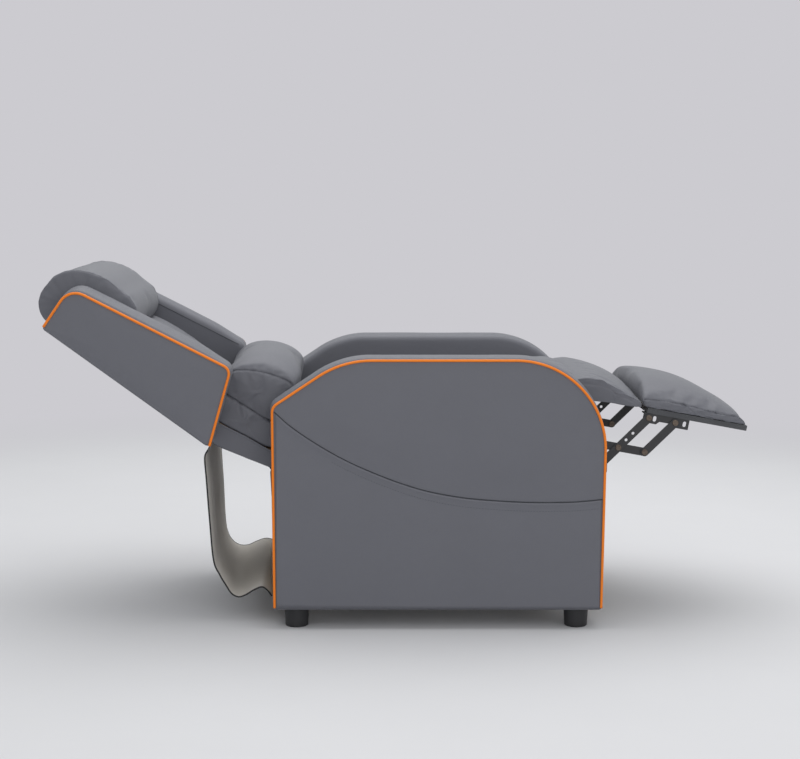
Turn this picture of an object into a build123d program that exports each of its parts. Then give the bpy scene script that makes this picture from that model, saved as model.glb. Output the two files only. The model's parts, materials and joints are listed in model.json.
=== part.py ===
# Push-back recliner chair, shown fully reclined with its footrest out.
# Millimetres. +X is the way the sitter faces, +Z is up and -Y is the near side.
# The origin lies on the floor, under the middle of the reclined chair.
import os
from math import atan2, cos, degrees, hypot, radians, sin

from build123d import *

os.makedirs("parts", exist_ok=True)

# Overall sizes
OVERALL_WIDTH = 680.0
ARM_HEIGHT = 618.0
FOOT_HEIGHT = 45.0

# Clearances shared by all pieces
PIN_CLEARANCE = 0.05
LINK_GAP = 0.3
OVERRUN = 10.0

# Welt cord along the edges of the arms and wings
PIPING_RADIUS = 3.0

# Arms
ARM_THICKNESS = 92.0
ARM_REAR = -284.0
ARM_FRONT = 472.0
ARM_REAR_LEAN = 4.0
ARM_FRONT_LEAN = 6.0
ARM_SHOULDER_HEIGHT = 512.0
ARM_SLOPE_RUN = 159.0
ARM_REAR_RADIUS = 24.0
ARM_SLOPE_RADIUS = 220.0
ARM_FRONT_RADIUS = 205.0
ARM_CROWN = 8.0
ARM_EDGE_CROWN = 3.0
ARM_CORE_THICKNESS = 18.0
ARM_CORE_INSET = 24.0
ARM_CORE_RADIUS = 60.0

# Leather panel that laps over the lower part of each arm
PANEL_THICKNESS = 2.0
PANEL_MARGIN = 5.0
PANEL_REAR_HEIGHT = 490.0
PANEL_FRONT_HEIGHT = 297.0
PANEL_DIP_X = 200.0
PANEL_DIP_HEIGHT = 298.0
PANEL_KNEE_X = -60.0
PANEL_KNEE_HEIGHT = 364.0

# Feet
FOOT_RADIUS = 28.5
FOOT_TAPER = 2.5
FOOT_REAR_X = -229.0
FOOT_FRONT_X = 413.0
FOOT_CHAMFER = 2.0
STUD_RADIUS = 4.0
STUD_LENGTH = 50.0
STUD_IN_FOOT = 25.0

# Rails and tubes between the arms
RAIL_THICKNESS = 22.0
RAIL_BOTTOM = 50.0
FRONT_RAIL_X = 395.0
FRONT_RAIL_HEIGHT = 50.0
REAR_RAIL_HEIGHT = 62.0
TUBE_RADIUS = 11.0
TUBE_WALL = 1.5
TUBE_HOLE_RADIUS = 12.0
TUBE_END_GAP = 1.0
PLUG_LENGTH = 18.0
SWING_WIDTH = 26.0
REAR_TUBE_X = -262.0
REAR_TUBE_Z = 240.0
FRONT_TUBE_X = 200.0
FRONT_TUBE_Z = 145.0

# Steel plates and straps of the mechanism
STEEL = 3.0
STRAP_WIDTH = 19.0
RIVET_RADIUS = 4.0
RIVET_HEAD_RADIUS = 7.0
RIVET_HEAD = 2.2
PIVOT_RADIUS = 6.0
PIVOT_HEAD_RADIUS = 10.0
PIVOT_HEAD = 2.4
PIVOT_COLLAR_RADIUS = 9.0
DRIVE_HEAD = 2.2
HEAD_GAP = 0.1
HEAD_ROOM = 4.0
BRACKET_ROOM = 7.0
PLATE_ROOM = 4.0
HEAD_CHAMFER = 0.7
BOLT_RADIUS = 4.0
BOLT_HEAD_RADIUS = 7.5
BOLT_HEAD = 5.0
LIGHTENING_LENGTH = 60.0
LIGHTENING_WIDTH = 22.0
PLATE_RADIUS = 10.0
BASE_PLATE_X = -291.0
BASE_PLATE_Z = 124.0
BASE_PLATE_LENGTH = 531.0
BASE_PLATE_HEIGHT = 240.0
BASE_PLATE_SHARES = [
    (0.0, 0.967), (0.055, 0.983), (0.13, 0.825), (0.88, 1.0), (1.0, 0.983),
    (0.985, 0.733), (0.97, 0.0), (0.88, 0.0), (0.864, 0.675), (0.213, 0.6),
    (0.096, 0.4), (0.013, 0.4),
]
BASE_PLATE_WINDOWS = [(-70.0, 300.0), (66.0, 314.0)]
SEAT_PLATE_X = -158.0
SEAT_PLATE_Z = 232.0
SEAT_PLATE_LENGTH = 596.0
SEAT_PLATE_HEIGHT = 210.0
SEAT_PLATE_SHARES = [
    (0.003, 0.019), (0.06, 0.01), (0.198, 0.171), (0.685, 0.229), (0.819, 0.152),
    (0.872, 0.19), (0.893, 0.371), (0.909, 0.538), (1.0, 0.729), (1.0, 0.914),
    (0.977, 0.99), (0.134, 0.657), (0.09, 0.514), (0.0, 0.205),
]
SEAT_PLATE_WINDOWS = [(10.0, 318.0), (130.0, 334.0), (215.0, 346.0)]

# Cam plates outside the linkage, carried on studs
CAM_PLATE_X = 329.0
CAM_PLATE_Z = 237.0
CAM_PLATE_LENGTH = 158.0
CAM_PLATE_HEIGHT = 149.0
CAM_PLATE_SHARES = [
    (0.0, 0.27), (0.27, 0.007), (0.449, 0.0), (0.797, 0.168), (1.0, 0.758),
    (1.0, 0.946), (0.797, 0.993), (0.5, 0.72), (0.36, 1.0), (0.07, 1.0),
    (0.0, 0.66),
]
CAM_PLATE_ROOM = 0.4
CAM_STUDS = [(345.0, 290.0), (360.0, 368.0)]
STUD_TENON_RADIUS = 4.0
CAM_CLIP_RADIUS = 7.0
CAM_CLIP = 0.9

# Back: it turns about one pivot on the base
BACK_PIVOT_X = -228.0
BACK_PIVOT_Z = 291.0
BACK_ANGLE = 54.0
BACK_ARM_X = 88.7
BACK_ARM_Z = -40.2
BACK_ARM_WIDTH = 34.0
BRACKET_WIDTH = 30.0
BRACKET_BEND = (95.0, 35.0)
BRACKET_TOP = (235.0, 8.5)
BACK_BOLTS = [(110.0, 32.2), (170.0, 20.8), (225.0, 10.4)]
BACK_BOLT_LENGTH = 30.0
BACK_BOLT_HEAD = 1.5
FRAME_REAR = -12.0
FRAME_DEPTH = 45.0
FRAME_LENGTH = 690.0
FRAME_START = 70.0
FRAME_KNEE = 215.0
FRAME_BEND = 242.0
FRAME_START_REAR = 24.0
FRAME_START_FRONT = 55.0
FRAME_STILE = 38.0
FRAME_RAIL = 45.0
BACK_PANEL = 3.0
WEBBING_WIDTH = 50.0
WEBBING_THICKNESS = 2.0
WEBBING_FIRST = 300.0
WEBBING_PITCH = 82.0
WEBBING_COUNT = 5

# Wings of the back
WING_THICKNESS = 97.0
WING_BOARD_START = 256.0
WING_START = 231.0
WING_OVERHANG = 3.0
WING_TOP_DEPTH = 100.0
WING_FRONT_START = 297.0
WING_FRONT_DEPTH = 163.0
WING_REAR = -13.0
WING_TOP_BULGE = 3.0
WING_REAR_RADIUS = 8.0
WING_TOP_RADIUS = 42.0
WING_FRONT_RADIUS = 22.0
WING_CROWN = 7.0

# Pads of the back, measured up the back and out from its pivot plane
PAD_START = 112.0
PAD_JOIN = 287.0
PAD_LOW_FRONT = 104.0
PAD_JOIN_FRONT = 93.0
BACK_PAD_START = 296.0
PILLOW_GAP = 2.0
BACK_PAD_FRONT = 118.0
BACK_PAD_SHOULDER = 18.0
BACK_PAD_SIDE_DROP = 10.0
LUMBAR_START = 150.0
LUMBAR_LENGTH = 155.0
LUMBAR_BASE = 92.0
LUMBAR_DEPTH = 153.0
PILLOW_OVERHANG = 53.0
PILLOW_LENGTH = 195.0
PILLOW_DEPTH = 175.0
CUSHION_SIDE_GAP = 3.0

# Seat
SEAT_REAR = -94.0
SEAT_FRAME_REAR_TOP = 374.0
SEAT_SLOPE = 0.1461
SEAT_FRAME_DEPTH = 55.0
SEAT_FRAME_FRONT = 442.0
SEAT_RAIL = 22.0
SEAT_REAR_HEIGHT = 112.0
SEAT_REAR_ROUND = 18.0
SEAT_REAR_ROUND_Z = 498.0
SEAT_SHOULDER_Z = 504.0
SEAT_MIDDLE_X = 157.0
SEAT_MIDDLE_Z = 546.0
SEAT_SIDE_GAP = 9.0
SEAT_CREST_X = 389.0
SEAT_CREST_Z = 571.0
SEAT_FALL_X = 430.0
SEAT_FALL_Z = 570.0
SEAT_SIDE_DROP = 15.0
NOSE_X = 465.0
NOSE_Z = 535.0
NOSE_RADIUS = 27.0
NOSE_GAP = 1.0
NOSE_LOW_ANGLE = -135.0
SEAT_FACE_X = 444.0
SEAT_ROUND_SHARE = 0.3
SEAT_BOLTS = [(-40.0, 354.0), (110.0, 376.0), (230.0, 393.0), (350.0, 411.0)]
SEAT_BOLT_LENGTH = 18.0
SEAT_BOLT_HEAD = 2.2
SPRING_COUNT = 4
SPRING_PITCH_SHARE = 0.2463
SPRING_WAVES = 5
SPRING_SWING = 24.0
SPRING_BEND = 11.0
SPRING_END = 12.0
SPRING_GRIP = 8.0
SPRING_WIRE = 1.8
SPRING_DROP = 4.0

# Front section of the seat, sewn between the seat and the footrest
BRIDGE_TOP_ANGLE = 58.0
BRIDGE_LOW_ANGLE = -50.0
BRIDGE_FRONT_X = 567.0
BRIDGE_FRONT_TOP = 508.0
BRIDGE_FRONT_BOTTOM = 498.0
BRIDGE_CREST_X = 529.0
BRIDGE_CREST_Z = 542.0
BRIDGE_SIDE_DROP = 9.0
BRIDGE_SAG_X = 523.0
BRIDGE_SAG_Z = 502.0

# Footrest linkage, one lazy tong on each side
CROSS_X = 513.0
CROSS_Z = 404.6
FOOTREST_TILT = -10.4
REACH_ANGLE = 44.6
LONG_SPAN = 97.6
SHORT_SPAN = 62.0
DRIVE_SPAN = 110.8
CAM_SPAN = 60.0
FOLD_ANGLE = 79.6
CROSS_RATIO = 0.309
CAM_ROLLER_RADIUS = 7.0
CAM_CLEARANCE = 0.3
CAM_STEPS = 10
CAM_PIN_RADIUS = 4.0
LINK_HOLE_RADIUS = 3.5
LINK_HOLE_FIRST = 25.0
LINK_HOLE_PITCH = 22.0

# Footrest, measured along its board from the rear rivet of its bracket
BOARD_START = -6.0
BOARD_LENGTH = 233.0
BOARD_UNDERSIDE = 11.0
BOARD_THICKNESS = 12.0
BOARD_EDGE = 2.0
FOOTREST_SIDE_GAP = 7.0
FOOTREST_PAD_START = -15.0
FOOTREST_PAD_LENGTH = 241.0
FOOTREST_PAD_HEIGHT = 72.0
BRACKET_START = -13.0
BRACKET_LENGTH = 107.0
BRACKET_DEPTH = 23.0
BRACKET_STEP = 7.0
BRACKET_STEP_START = 26.0
BRACKET_STEP_END = 47.0
BRACKET_FLANGE = 27.0
BRACKET_TOP_EDGE = 11.0
BRACKET_SLOT_WIDTH = 8.0
BRACKET_SLOT_HEIGHT = 13.0
BRACKET_SLOT_FIRST = 14.0
BRACKET_SLOT_SECOND = 84.0
SCREW_RADIUS = 2.5
SCREW_HEAD_RADIUS = 5.0
SCREW_HEAD = 2.5
SCREW_DEPTH = 9.0
SCREW_PLACES = [30.0, 68.0]

# Rear flap and the fabric between seat and back
FLAP_OVERLAP = 17.0
FLAP_THICKNESS = 3.0
FLAP_TOP = 244.0
FLAP_SEAM = 232.0
FLAP_PATH = [(-440.0, 380.0), (-424.0, 140.0), (-366.0, 50.0), (-312.0, 88.0)]
FLAP_RADII = [4.0, 60.0, 60.0, 24.0, 16.0]
FLAP_END_Z = 62.0
APRON_SIDE_GAP = 3.0
APRON_THICKNESS = 3.0
APRON_TOP = 478.0
APRON_PATH = [(-118.0, 402.0), (-205.0, 382.0)]
APRON_RADII = [24.0, 24.0, 12.0]
APRON_REAR = 60.0
APRON_FRONT = 96.0

# Y positions of the layers, from the outside in
PIPING_Y = OVERALL_WIDTH / 2 - PIPING_RADIUS
ARM_INNER = PIPING_Y - ARM_THICKNESS
ARM_MID = ARM_INNER + ARM_THICKNESS / 2
WING_INNER = PIPING_Y - WING_THICKNESS
BASE_PLATE_Y = ARM_INNER - STEEL
REACH_LAYER_Y = BASE_PLATE_Y - HEAD_ROOM - STEEL
DRIVE_LAYER_Y = REACH_LAYER_Y - LINK_GAP - STEEL
CAM_PLATE_Y = REACH_LAYER_Y + STEEL + RIVET_HEAD + CAM_PLATE_ROOM
SWING_Y = BASE_PLATE_Y - BRACKET_ROOM - STEEL
SEAT_PLATE_Y = SWING_Y - PLATE_ROOM - STEEL
SEAT_HALF_WIDTH = ARM_INNER - SEAT_SIDE_GAP
CUSHION_HALF_WIDTH = WING_INNER - CUSHION_SIDE_GAP
FOOTREST_HALF_WIDTH = ARM_INNER - FOOTREST_SIDE_GAP
BOARD_HALF_WIDTH = FOOTREST_HALF_WIDTH - BOARD_EDGE
FLAP_HALF_WIDTH = ARM_INNER + FLAP_OVERLAP
APRON_HALF_WIDTH = SEAT_PLATE_Y - APRON_SIDE_GAP
SPRING_PITCH = SPRING_PITCH_SHARE * 2 * (SEAT_PLATE_Y - SEAT_RAIL)
PILLOW_START = FRAME_LENGTH + PILLOW_OVERHANG - PILLOW_LENGTH
BACK_PAD_END = PILLOW_START - PILLOW_GAP
PILLOW_BASE = FRAME_REAR
WING_END = FRAME_LENGTH + WING_OVERHANG
RIVET_GRIP = REACH_LAYER_Y + STEEL + HEAD_GAP - DRIVE_LAYER_Y
SCREW_Y = DRIVE_LAYER_Y - BRACKET_FLANGE / 2
ON_END = (Align.CENTER, Align.CENTER, Align.MIN)


def turned(angle):
    """Unit vector in the side view, at an angle in degrees from +X towards +Z."""
    return cos(radians(angle)), sin(radians(angle))


def outward(places, start):
    """Locations that point outwards on the near side, for pins along Y."""
    return [Location((x, -start, z), (90, 0, 0)) for x, z in places]


def along(start, angle, distance):
    """Point at a distance from another, in the side view."""
    return start[0] + distance * turned(angle)[0], start[1] + distance * turned(angle)[1]


def side_plane(distance):
    """Side-view plane on the near side, facing outwards, at a distance from the middle."""
    return Plane.XZ.offset(distance)


BACK_PLANE = Plane(
    origin=(BACK_PIVOT_X, 0, BACK_PIVOT_Z),
    x_dir=(-sin(radians(BACK_ANGLE)), 0, cos(radians(BACK_ANGLE))),
    z_dir=(0, 1, 0),
)


def back_point(up, out):
    """Side-view place of a point given up the back and out from its pivot plane."""
    place = BACK_PLANE.from_local_coords(Vector(up, out, 0))
    return place.X, place.Z


def seat_line(x):
    """Height of the top of the seat frame."""
    return SEAT_FRAME_REAR_TOP + SEAT_SLOPE * (x - SEAT_REAR)


# Pivots of the footrest linkage
CROSS = (CROSS_X, CROSS_Z)
DRIVE_PIVOT = along(CROSS, FOOTREST_TILT, -DRIVE_SPAN)
ELBOW = along(CROSS, FOOTREST_TILT, SHORT_SPAN)
BRACKET_REAR = along(CROSS, REACH_ANGLE, LONG_SPAN)
BRACKET_FRONT = along(BRACKET_REAR, FOOTREST_TILT, SHORT_SPAN)
CAM = along(CROSS, REACH_ANGLE, -CAM_SPAN)

# Pivots that carry the seat
BACK_PIVOT = (BACK_PIVOT_X, BACK_PIVOT_Z)
SEAT_REAR_PIVOT = (BACK_PIVOT_X + BACK_ARM_X, BACK_PIVOT_Z + BACK_ARM_Z)
SWING_SEAT_PIVOT = (300.0, 300.0)
SWING_BASE_PIVOT = (SWING_SEAT_PIVOT[0] - BACK_ARM_X, SWING_SEAT_PIVOT[1] - BACK_ARM_Z)

FOOTREST_PLANE = Plane(
    origin=(BRACKET_REAR[0], 0, BRACKET_REAR[1]),
    x_dir=(turned(FOOTREST_TILT)[0], 0, turned(FOOTREST_TILT)[1]),
    z_dir=(0, -1, 0),
)


def cam_point(fold):
    """Centre of the cam roller when the footrest has folded by an angle."""
    crossing = along(DRIVE_PIVOT, FOOTREST_TILT - fold, DRIVE_SPAN)
    return along(crossing, REACH_ANGLE + CROSS_RATIO * fold, -CAM_SPAN)


def arm_points(crown=0.0, edge=0.0):
    """Corners of the arm outline, rear foot first, over the top to the front foot."""
    return [
        (ARM_REAR + ARM_REAR_LEAN - edge, FOOT_HEIGHT),
        (ARM_REAR - edge, ARM_SHOULDER_HEIGHT + edge),
        (ARM_REAR + ARM_SLOPE_RUN, ARM_HEIGHT + crown),
        (ARM_FRONT + edge, ARM_HEIGHT + crown),
        (ARM_FRONT - ARM_FRONT_LEAN + edge, FOOT_HEIGHT),
    ]


ARM_RADII = [ARM_REAR_RADIUS, ARM_SLOPE_RADIUS, ARM_FRONT_RADIUS]


def wing_points(crown=0.0):
    """Corners of the wing outline on the back plane, over the top and down the front."""
    return [
        (WING_START + WING_TOP_BULGE, WING_REAR),
        (WING_END, WING_REAR),
        (WING_END + WING_TOP_BULGE, WING_TOP_DEPTH + crown),
        (WING_FRONT_START, WING_FRONT_DEPTH + crown),
        (WING_START, WING_REAR),
    ]


WING_RADII = [WING_REAR_RADIUS, WING_TOP_RADIUS, WING_FRONT_RADIUS]


def draw(start, *moves):
    """Draws lines and arcs one after another in the open line builder.

    A move is an end point for a line, or a middle and an end point for an arc.
    """
    here = start
    for move in moves:
        if len(move) == 1:
            Line(here, move[0])
        else:
            ThreePointArc(here, move[0], move[1])
        here = move[-1]
    if hypot(here[0] - start[0], here[1] - start[1]) > PIN_CLEARANCE:
        Line(here, start)


def mixed(side_shares, centre_shares, fullness):
    """Blends two tables of moves, the side's and the centre's."""
    return [
        [
            tuple(a + (b - a) * fullness for a, b in zip(side, centre))
            for side, centre in zip(side_move, centre_move)
        ]
        for side_move, centre_move in zip(side_shares, centre_shares)
    ]


def placed(shares, start, base, length, height):
    """Turns a table of shares into real places."""
    return [
        [(start + x * length, base + y * height) for x, y in move] for move in shares
    ]


def spread(shares, start, base, length, height):
    """Turns a list of outline shares into real places."""
    return [(start + x * length, base + y * height) for x, y in shares]


# A cushion's sections across its width: place as a share of the half width, fullness share
WIDTH_SHARES = [(-1.0, 0.0), (-0.93, 0.5), (-0.72, 0.85), (0.0, 1.0)]
WIDTH_SHARES += [(-place, fullness) for place, fullness in reversed(WIDTH_SHARES[:-1])]


def thick_path(points, radii, thickness):
    """Draws the closed outline of a bent sheet about its middle line."""
    sides = []
    for sign in (1, -1):
        shift = sign * thickness / 2
        moved = []
        for i, (x, z) in enumerate(points):
            before = points[max(i - 1, 0)]
            after = points[min(i + 1, len(points) - 1)]
            ins = atan2(z - before[1], x - before[0]) if i else None
            outs = atan2(after[1] - z, after[0] - x) if i < len(points) - 1 else None
            ins = outs if ins is None else ins
            outs = ins if outs is None else outs
            half = (outs - ins + radians(180)) % radians(360) - radians(180)
            bisector = ins + half / 2 + radians(90)
            reach = shift / cos(half / 2)
            moved.append((x + reach * cos(bisector), z + reach * sin(bisector)))
        turns = []
        for i, radius in enumerate(radii, start=1):
            before, here, after = points[i - 1], points[i], points[i + 1]
            cross = (here[0] - before[0]) * (after[1] - here[1])
            cross -= (here[1] - before[1]) * (after[0] - here[0])
            turns.append(radius - shift if cross > 0 else radius + shift)
        sides.append((moved, turns))
    (left, left_radii), (right, right_radii) = sides
    FilletPolyline(*left, radius=left_radii)
    Line(left[-1], right[-1])
    FilletPolyline(*right, radius=right_radii)
    Line(right[0], left[0])


# Arms

with BuildPart() as arm_core_near:
    with BuildSketch(side_plane(ARM_MID - ARM_CORE_THICKNESS / 2)):
        with BuildLine():
            FilletPolyline(
                (ARM_REAR + ARM_CORE_INSET, FOOT_HEIGHT + ARM_CORE_INSET),
                (ARM_REAR + ARM_CORE_INSET, ARM_SHOULDER_HEIGHT - ARM_CORE_INSET),
                (ARM_REAR + ARM_SLOPE_RUN, ARM_HEIGHT - ARM_CORE_INSET),
                (ARM_FRONT - ARM_CORE_INSET, ARM_HEIGHT - ARM_CORE_INSET),
                (ARM_FRONT - ARM_CORE_INSET, FOOT_HEIGHT + ARM_CORE_INSET),
                radius=[ARM_REAR_RADIUS, ARM_CORE_RADIUS, ARM_FRONT_RADIUS],
            )
            Line(
                (ARM_REAR + ARM_CORE_INSET, FOOT_HEIGHT + ARM_CORE_INSET),
                (ARM_FRONT - ARM_CORE_INSET, FOOT_HEIGHT + ARM_CORE_INSET),
            )
        make_face()
    extrude(amount=ARM_CORE_THICKNESS)

# Bolts that hold the base plates to the arm cores
BASE_BOLTS = [(-150.0, 325.0), (20.0, 318.0), (120.0, 330.0), (FRONT_TUBE_X, 200.0)]
BOLT_TIP_Y = ARM_MID + ARM_CORE_THICKNESS / 2 - STEEL

with BuildPart() as arm_near:
    for distance, crown, edge in (
        (ARM_INNER, 0.0, 0.0),
        (ARM_MID, ARM_CROWN, ARM_EDGE_CROWN),
        (PIPING_Y - PIPING_RADIUS, 0.0, 0.0),
    ):
        with BuildSketch(side_plane(distance)):
            with BuildLine():
                FilletPolyline(*arm_points(crown, edge), radius=ARM_RADII)
                Line(arm_points(crown, edge)[0], arm_points(crown, edge)[-1])
            make_face()
    loft()
    with BuildSketch(side_plane(PIPING_Y - PIPING_RADIUS)):
        with BuildLine():
            FilletPolyline(*arm_points(), radius=ARM_RADII)
            Line(arm_points()[0], arm_points()[-1])
        make_face()
        offset(amount=-PIPING_RADIUS, kind=Kind.INTERSECTION)
    extrude(amount=PIPING_RADIUS)
    add(arm_core_near.part, mode=Mode.SUBTRACT)
    with Locations(
        *[
            Pos(x, -ARM_MID, FOOT_HEIGHT + ARM_CORE_INSET / 2)
            for x in (FOOT_REAR_X, FOOT_FRONT_X)
        ]
    ):
        Cylinder(STUD_RADIUS, ARM_CORE_INSET + OVERRUN, mode=Mode.SUBTRACT)
    with BuildSketch(side_plane(ARM_INNER - OVERRUN)):
        with Locations(*BASE_BOLTS):
            Circle(BOLT_RADIUS)
    extrude(amount=ARM_THICKNESS / 2 + OVERRUN, mode=Mode.SUBTRACT)

with BuildPart() as arm_core_drilled:
    add(arm_core_near.part)
    with Locations(
        *[
            Pos(x, -ARM_MID, FOOT_HEIGHT + STUD_LENGTH - STUD_IN_FOOT)
            for x in (FOOT_REAR_X, FOOT_FRONT_X)
        ]
    ):
        Cylinder(
            STUD_RADIUS, STUD_LENGTH, align=(Align.CENTER, Align.CENTER, Align.MAX),
            mode=Mode.SUBTRACT,
        )
    with BuildSketch(side_plane(ARM_INNER)):
        with Locations(*BASE_BOLTS):
            Circle(BOLT_RADIUS)
    extrude(amount=BOLT_TIP_Y - ARM_INNER, mode=Mode.SUBTRACT)

with BuildPart() as arm_piping_near:
    with BuildLine(side_plane(PIPING_Y)) as arm_seam:
        FilletPolyline(*arm_points(), radius=ARM_RADII)
    with BuildSketch(Plane(origin=arm_seam.wire() @ 0, z_dir=arm_seam.wire() % 0)):
        Circle(PIPING_RADIUS)
    sweep()

with BuildPart() as side_panel_near:
    with BuildSketch(side_plane(PIPING_Y)):
        with BuildLine():
            FilletPolyline(*arm_points(), radius=ARM_RADII)
            Line(arm_points()[0], arm_points()[-1])
        make_face()
        offset(amount=-PANEL_MARGIN, kind=Kind.INTERSECTION)
        with BuildSketch(mode=Mode.INTERSECT):
            with BuildLine():
                Line((ARM_REAR - OVERRUN, 0), (ARM_REAR - OVERRUN, PANEL_REAR_HEIGHT))
                Line(
                    (ARM_REAR - OVERRUN, PANEL_REAR_HEIGHT),
                    (ARM_REAR + PANEL_MARGIN, PANEL_REAR_HEIGHT),
                )
                Spline(
                    (ARM_REAR + PANEL_MARGIN, PANEL_REAR_HEIGHT),
                    (PANEL_KNEE_X, PANEL_KNEE_HEIGHT),
                    (PANEL_DIP_X, PANEL_DIP_HEIGHT),
                    (ARM_FRONT, PANEL_FRONT_HEIGHT),
                )
                Line((ARM_FRONT, PANEL_FRONT_HEIGHT), (ARM_FRONT, 0))
                Line((ARM_FRONT, 0), (ARM_REAR - OVERRUN, 0))
            make_face()
    extrude(amount=PANEL_THICKNESS)

with BuildPart() as arm_core_far:
    mirror(arm_core_drilled.part, about=Plane.XZ)
with BuildPart() as arm_far:
    mirror(arm_near.part, about=Plane.XZ)
with BuildPart() as arm_piping_far:
    mirror(arm_piping_near.part, about=Plane.XZ)
with BuildPart() as side_panel_far:
    mirror(side_panel_near.part, about=Plane.XZ)

# Feet and rails

with BuildPart() as feet:
    with Locations(
        *[
            Pos(x, y, 0)
            for x in (FOOT_REAR_X, FOOT_FRONT_X)
            for y in (-ARM_MID, ARM_MID)
        ]
    ):
        Cone(
            FOOT_RADIUS - FOOT_TAPER, FOOT_RADIUS, FOOT_HEIGHT,
            align=(Align.CENTER, Align.CENTER, Align.MIN),
        )
    chamfer(feet.edges().group_by(Axis.Z)[0], FOOT_CHAMFER)
    with Locations(
        *[
            Pos(x, y, FOOT_HEIGHT - STUD_IN_FOOT)
            for x in (FOOT_REAR_X, FOOT_FRONT_X)
            for y in (-ARM_MID, ARM_MID)
        ]
    ):
        Cylinder(
            STUD_RADIUS, STUD_LENGTH, align=(Align.CENTER, Align.CENTER, Align.MIN),
            mode=Mode.SUBTRACT,
        )

with BuildPart() as foot_studs:
    with Locations(
        *[
            Pos(x, y, FOOT_HEIGHT - STUD_IN_FOOT)
            for x in (FOOT_REAR_X, FOOT_FRONT_X)
            for y in (-ARM_MID, ARM_MID)
        ]
    ):
        Cylinder(
            STUD_RADIUS, STUD_LENGTH, align=(Align.CENTER, Align.CENTER, Align.MIN)
        )

with BuildPart() as front_rail:
    with BuildSketch(side_plane(-ARM_INNER)):
        with Locations((FRONT_RAIL_X, RAIL_BOTTOM)):
            Rectangle(RAIL_THICKNESS, FRONT_RAIL_HEIGHT, align=Align.MIN)
    extrude(amount=2 * ARM_INNER)

with BuildPart() as rear_rail:
    with BuildSketch(side_plane(-ARM_INNER)):
        with Locations((ARM_REAR, RAIL_BOTTOM)):
            Rectangle(RAIL_THICKNESS, REAR_RAIL_HEIGHT, align=Align.MIN)
    extrude(amount=2 * ARM_INNER)

# Base side plates and the tubes between them

with BuildPart() as base_plates:
    with BuildSketch(side_plane(BASE_PLATE_Y)):
        with BuildLine():
            FilletPolyline(
                *spread(
                    BASE_PLATE_SHARES, BASE_PLATE_X, BASE_PLATE_Z,
                    BASE_PLATE_LENGTH, BASE_PLATE_HEIGHT,
                ),
                radius=PLATE_RADIUS, close=True,
            )
        make_face()
        with Locations(*BASE_BOLTS):
            Circle(BOLT_RADIUS, mode=Mode.SUBTRACT)
        with Locations(BACK_PIVOT, SWING_BASE_PIVOT):
            Circle(PIVOT_RADIUS, mode=Mode.SUBTRACT)
        with Locations(*BASE_PLATE_WINDOWS):
            SlotOverall(LIGHTENING_LENGTH, LIGHTENING_WIDTH, mode=Mode.SUBTRACT)
    extrude(amount=STEEL)
    mirror(about=Plane.XZ)

with BuildPart() as base_bolts:
    with Locations(*outward(BASE_BOLTS, BASE_PLATE_Y - BOLT_HEAD)):
        Cylinder(BOLT_HEAD_RADIUS, BOLT_HEAD, align=ON_END)
    with Locations(*outward(BASE_BOLTS, BASE_PLATE_Y)):
        Cylinder(BOLT_RADIUS, BOLT_TIP_Y - BASE_PLATE_Y, align=ON_END)
    mirror(about=Plane.XZ)

with BuildPart() as rear_cross_tube:
    with BuildSketch(side_plane(-BASE_PLATE_Y)):
        with Locations((REAR_TUBE_X, REAR_TUBE_Z)):
            Circle(TUBE_RADIUS)
            Circle(TUBE_RADIUS - TUBE_WALL, mode=Mode.SUBTRACT)
    extrude(amount=2 * BASE_PLATE_Y)

with BuildPart() as front_cross_tube:
    with BuildSketch(side_plane(-BASE_PLATE_Y)):
        with Locations((FRONT_TUBE_X, FRONT_TUBE_Z)):
            Circle(TUBE_RADIUS)
            Circle(TUBE_RADIUS - TUBE_WALL, mode=Mode.SUBTRACT)
    extrude(amount=2 * BASE_PLATE_Y)

# Pivot pins fixed in the base plates: the back turns on one pair, the seat hangs on the other
with BuildPart() as base_pivot_pins:
    base_pivots = [BACK_PIVOT, SWING_BASE_PIVOT]
    with Locations(*outward(base_pivots, SWING_Y - HEAD_GAP - PIVOT_HEAD)):
        Cylinder(PIVOT_HEAD_RADIUS, PIVOT_HEAD, align=ON_END)
    with Locations(*outward(base_pivots, SWING_Y - HEAD_GAP)):
        Cylinder(PIVOT_RADIUS, ARM_INNER - SWING_Y + HEAD_GAP, align=ON_END)
    with Locations(*outward(base_pivots, SWING_Y + STEEL + HEAD_GAP)):
        Cylinder(
            PIVOT_COLLAR_RADIUS, BASE_PLATE_Y - SWING_Y - STEEL - HEAD_GAP, align=ON_END
        )
    mirror(about=Plane.XZ)

# Back

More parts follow.
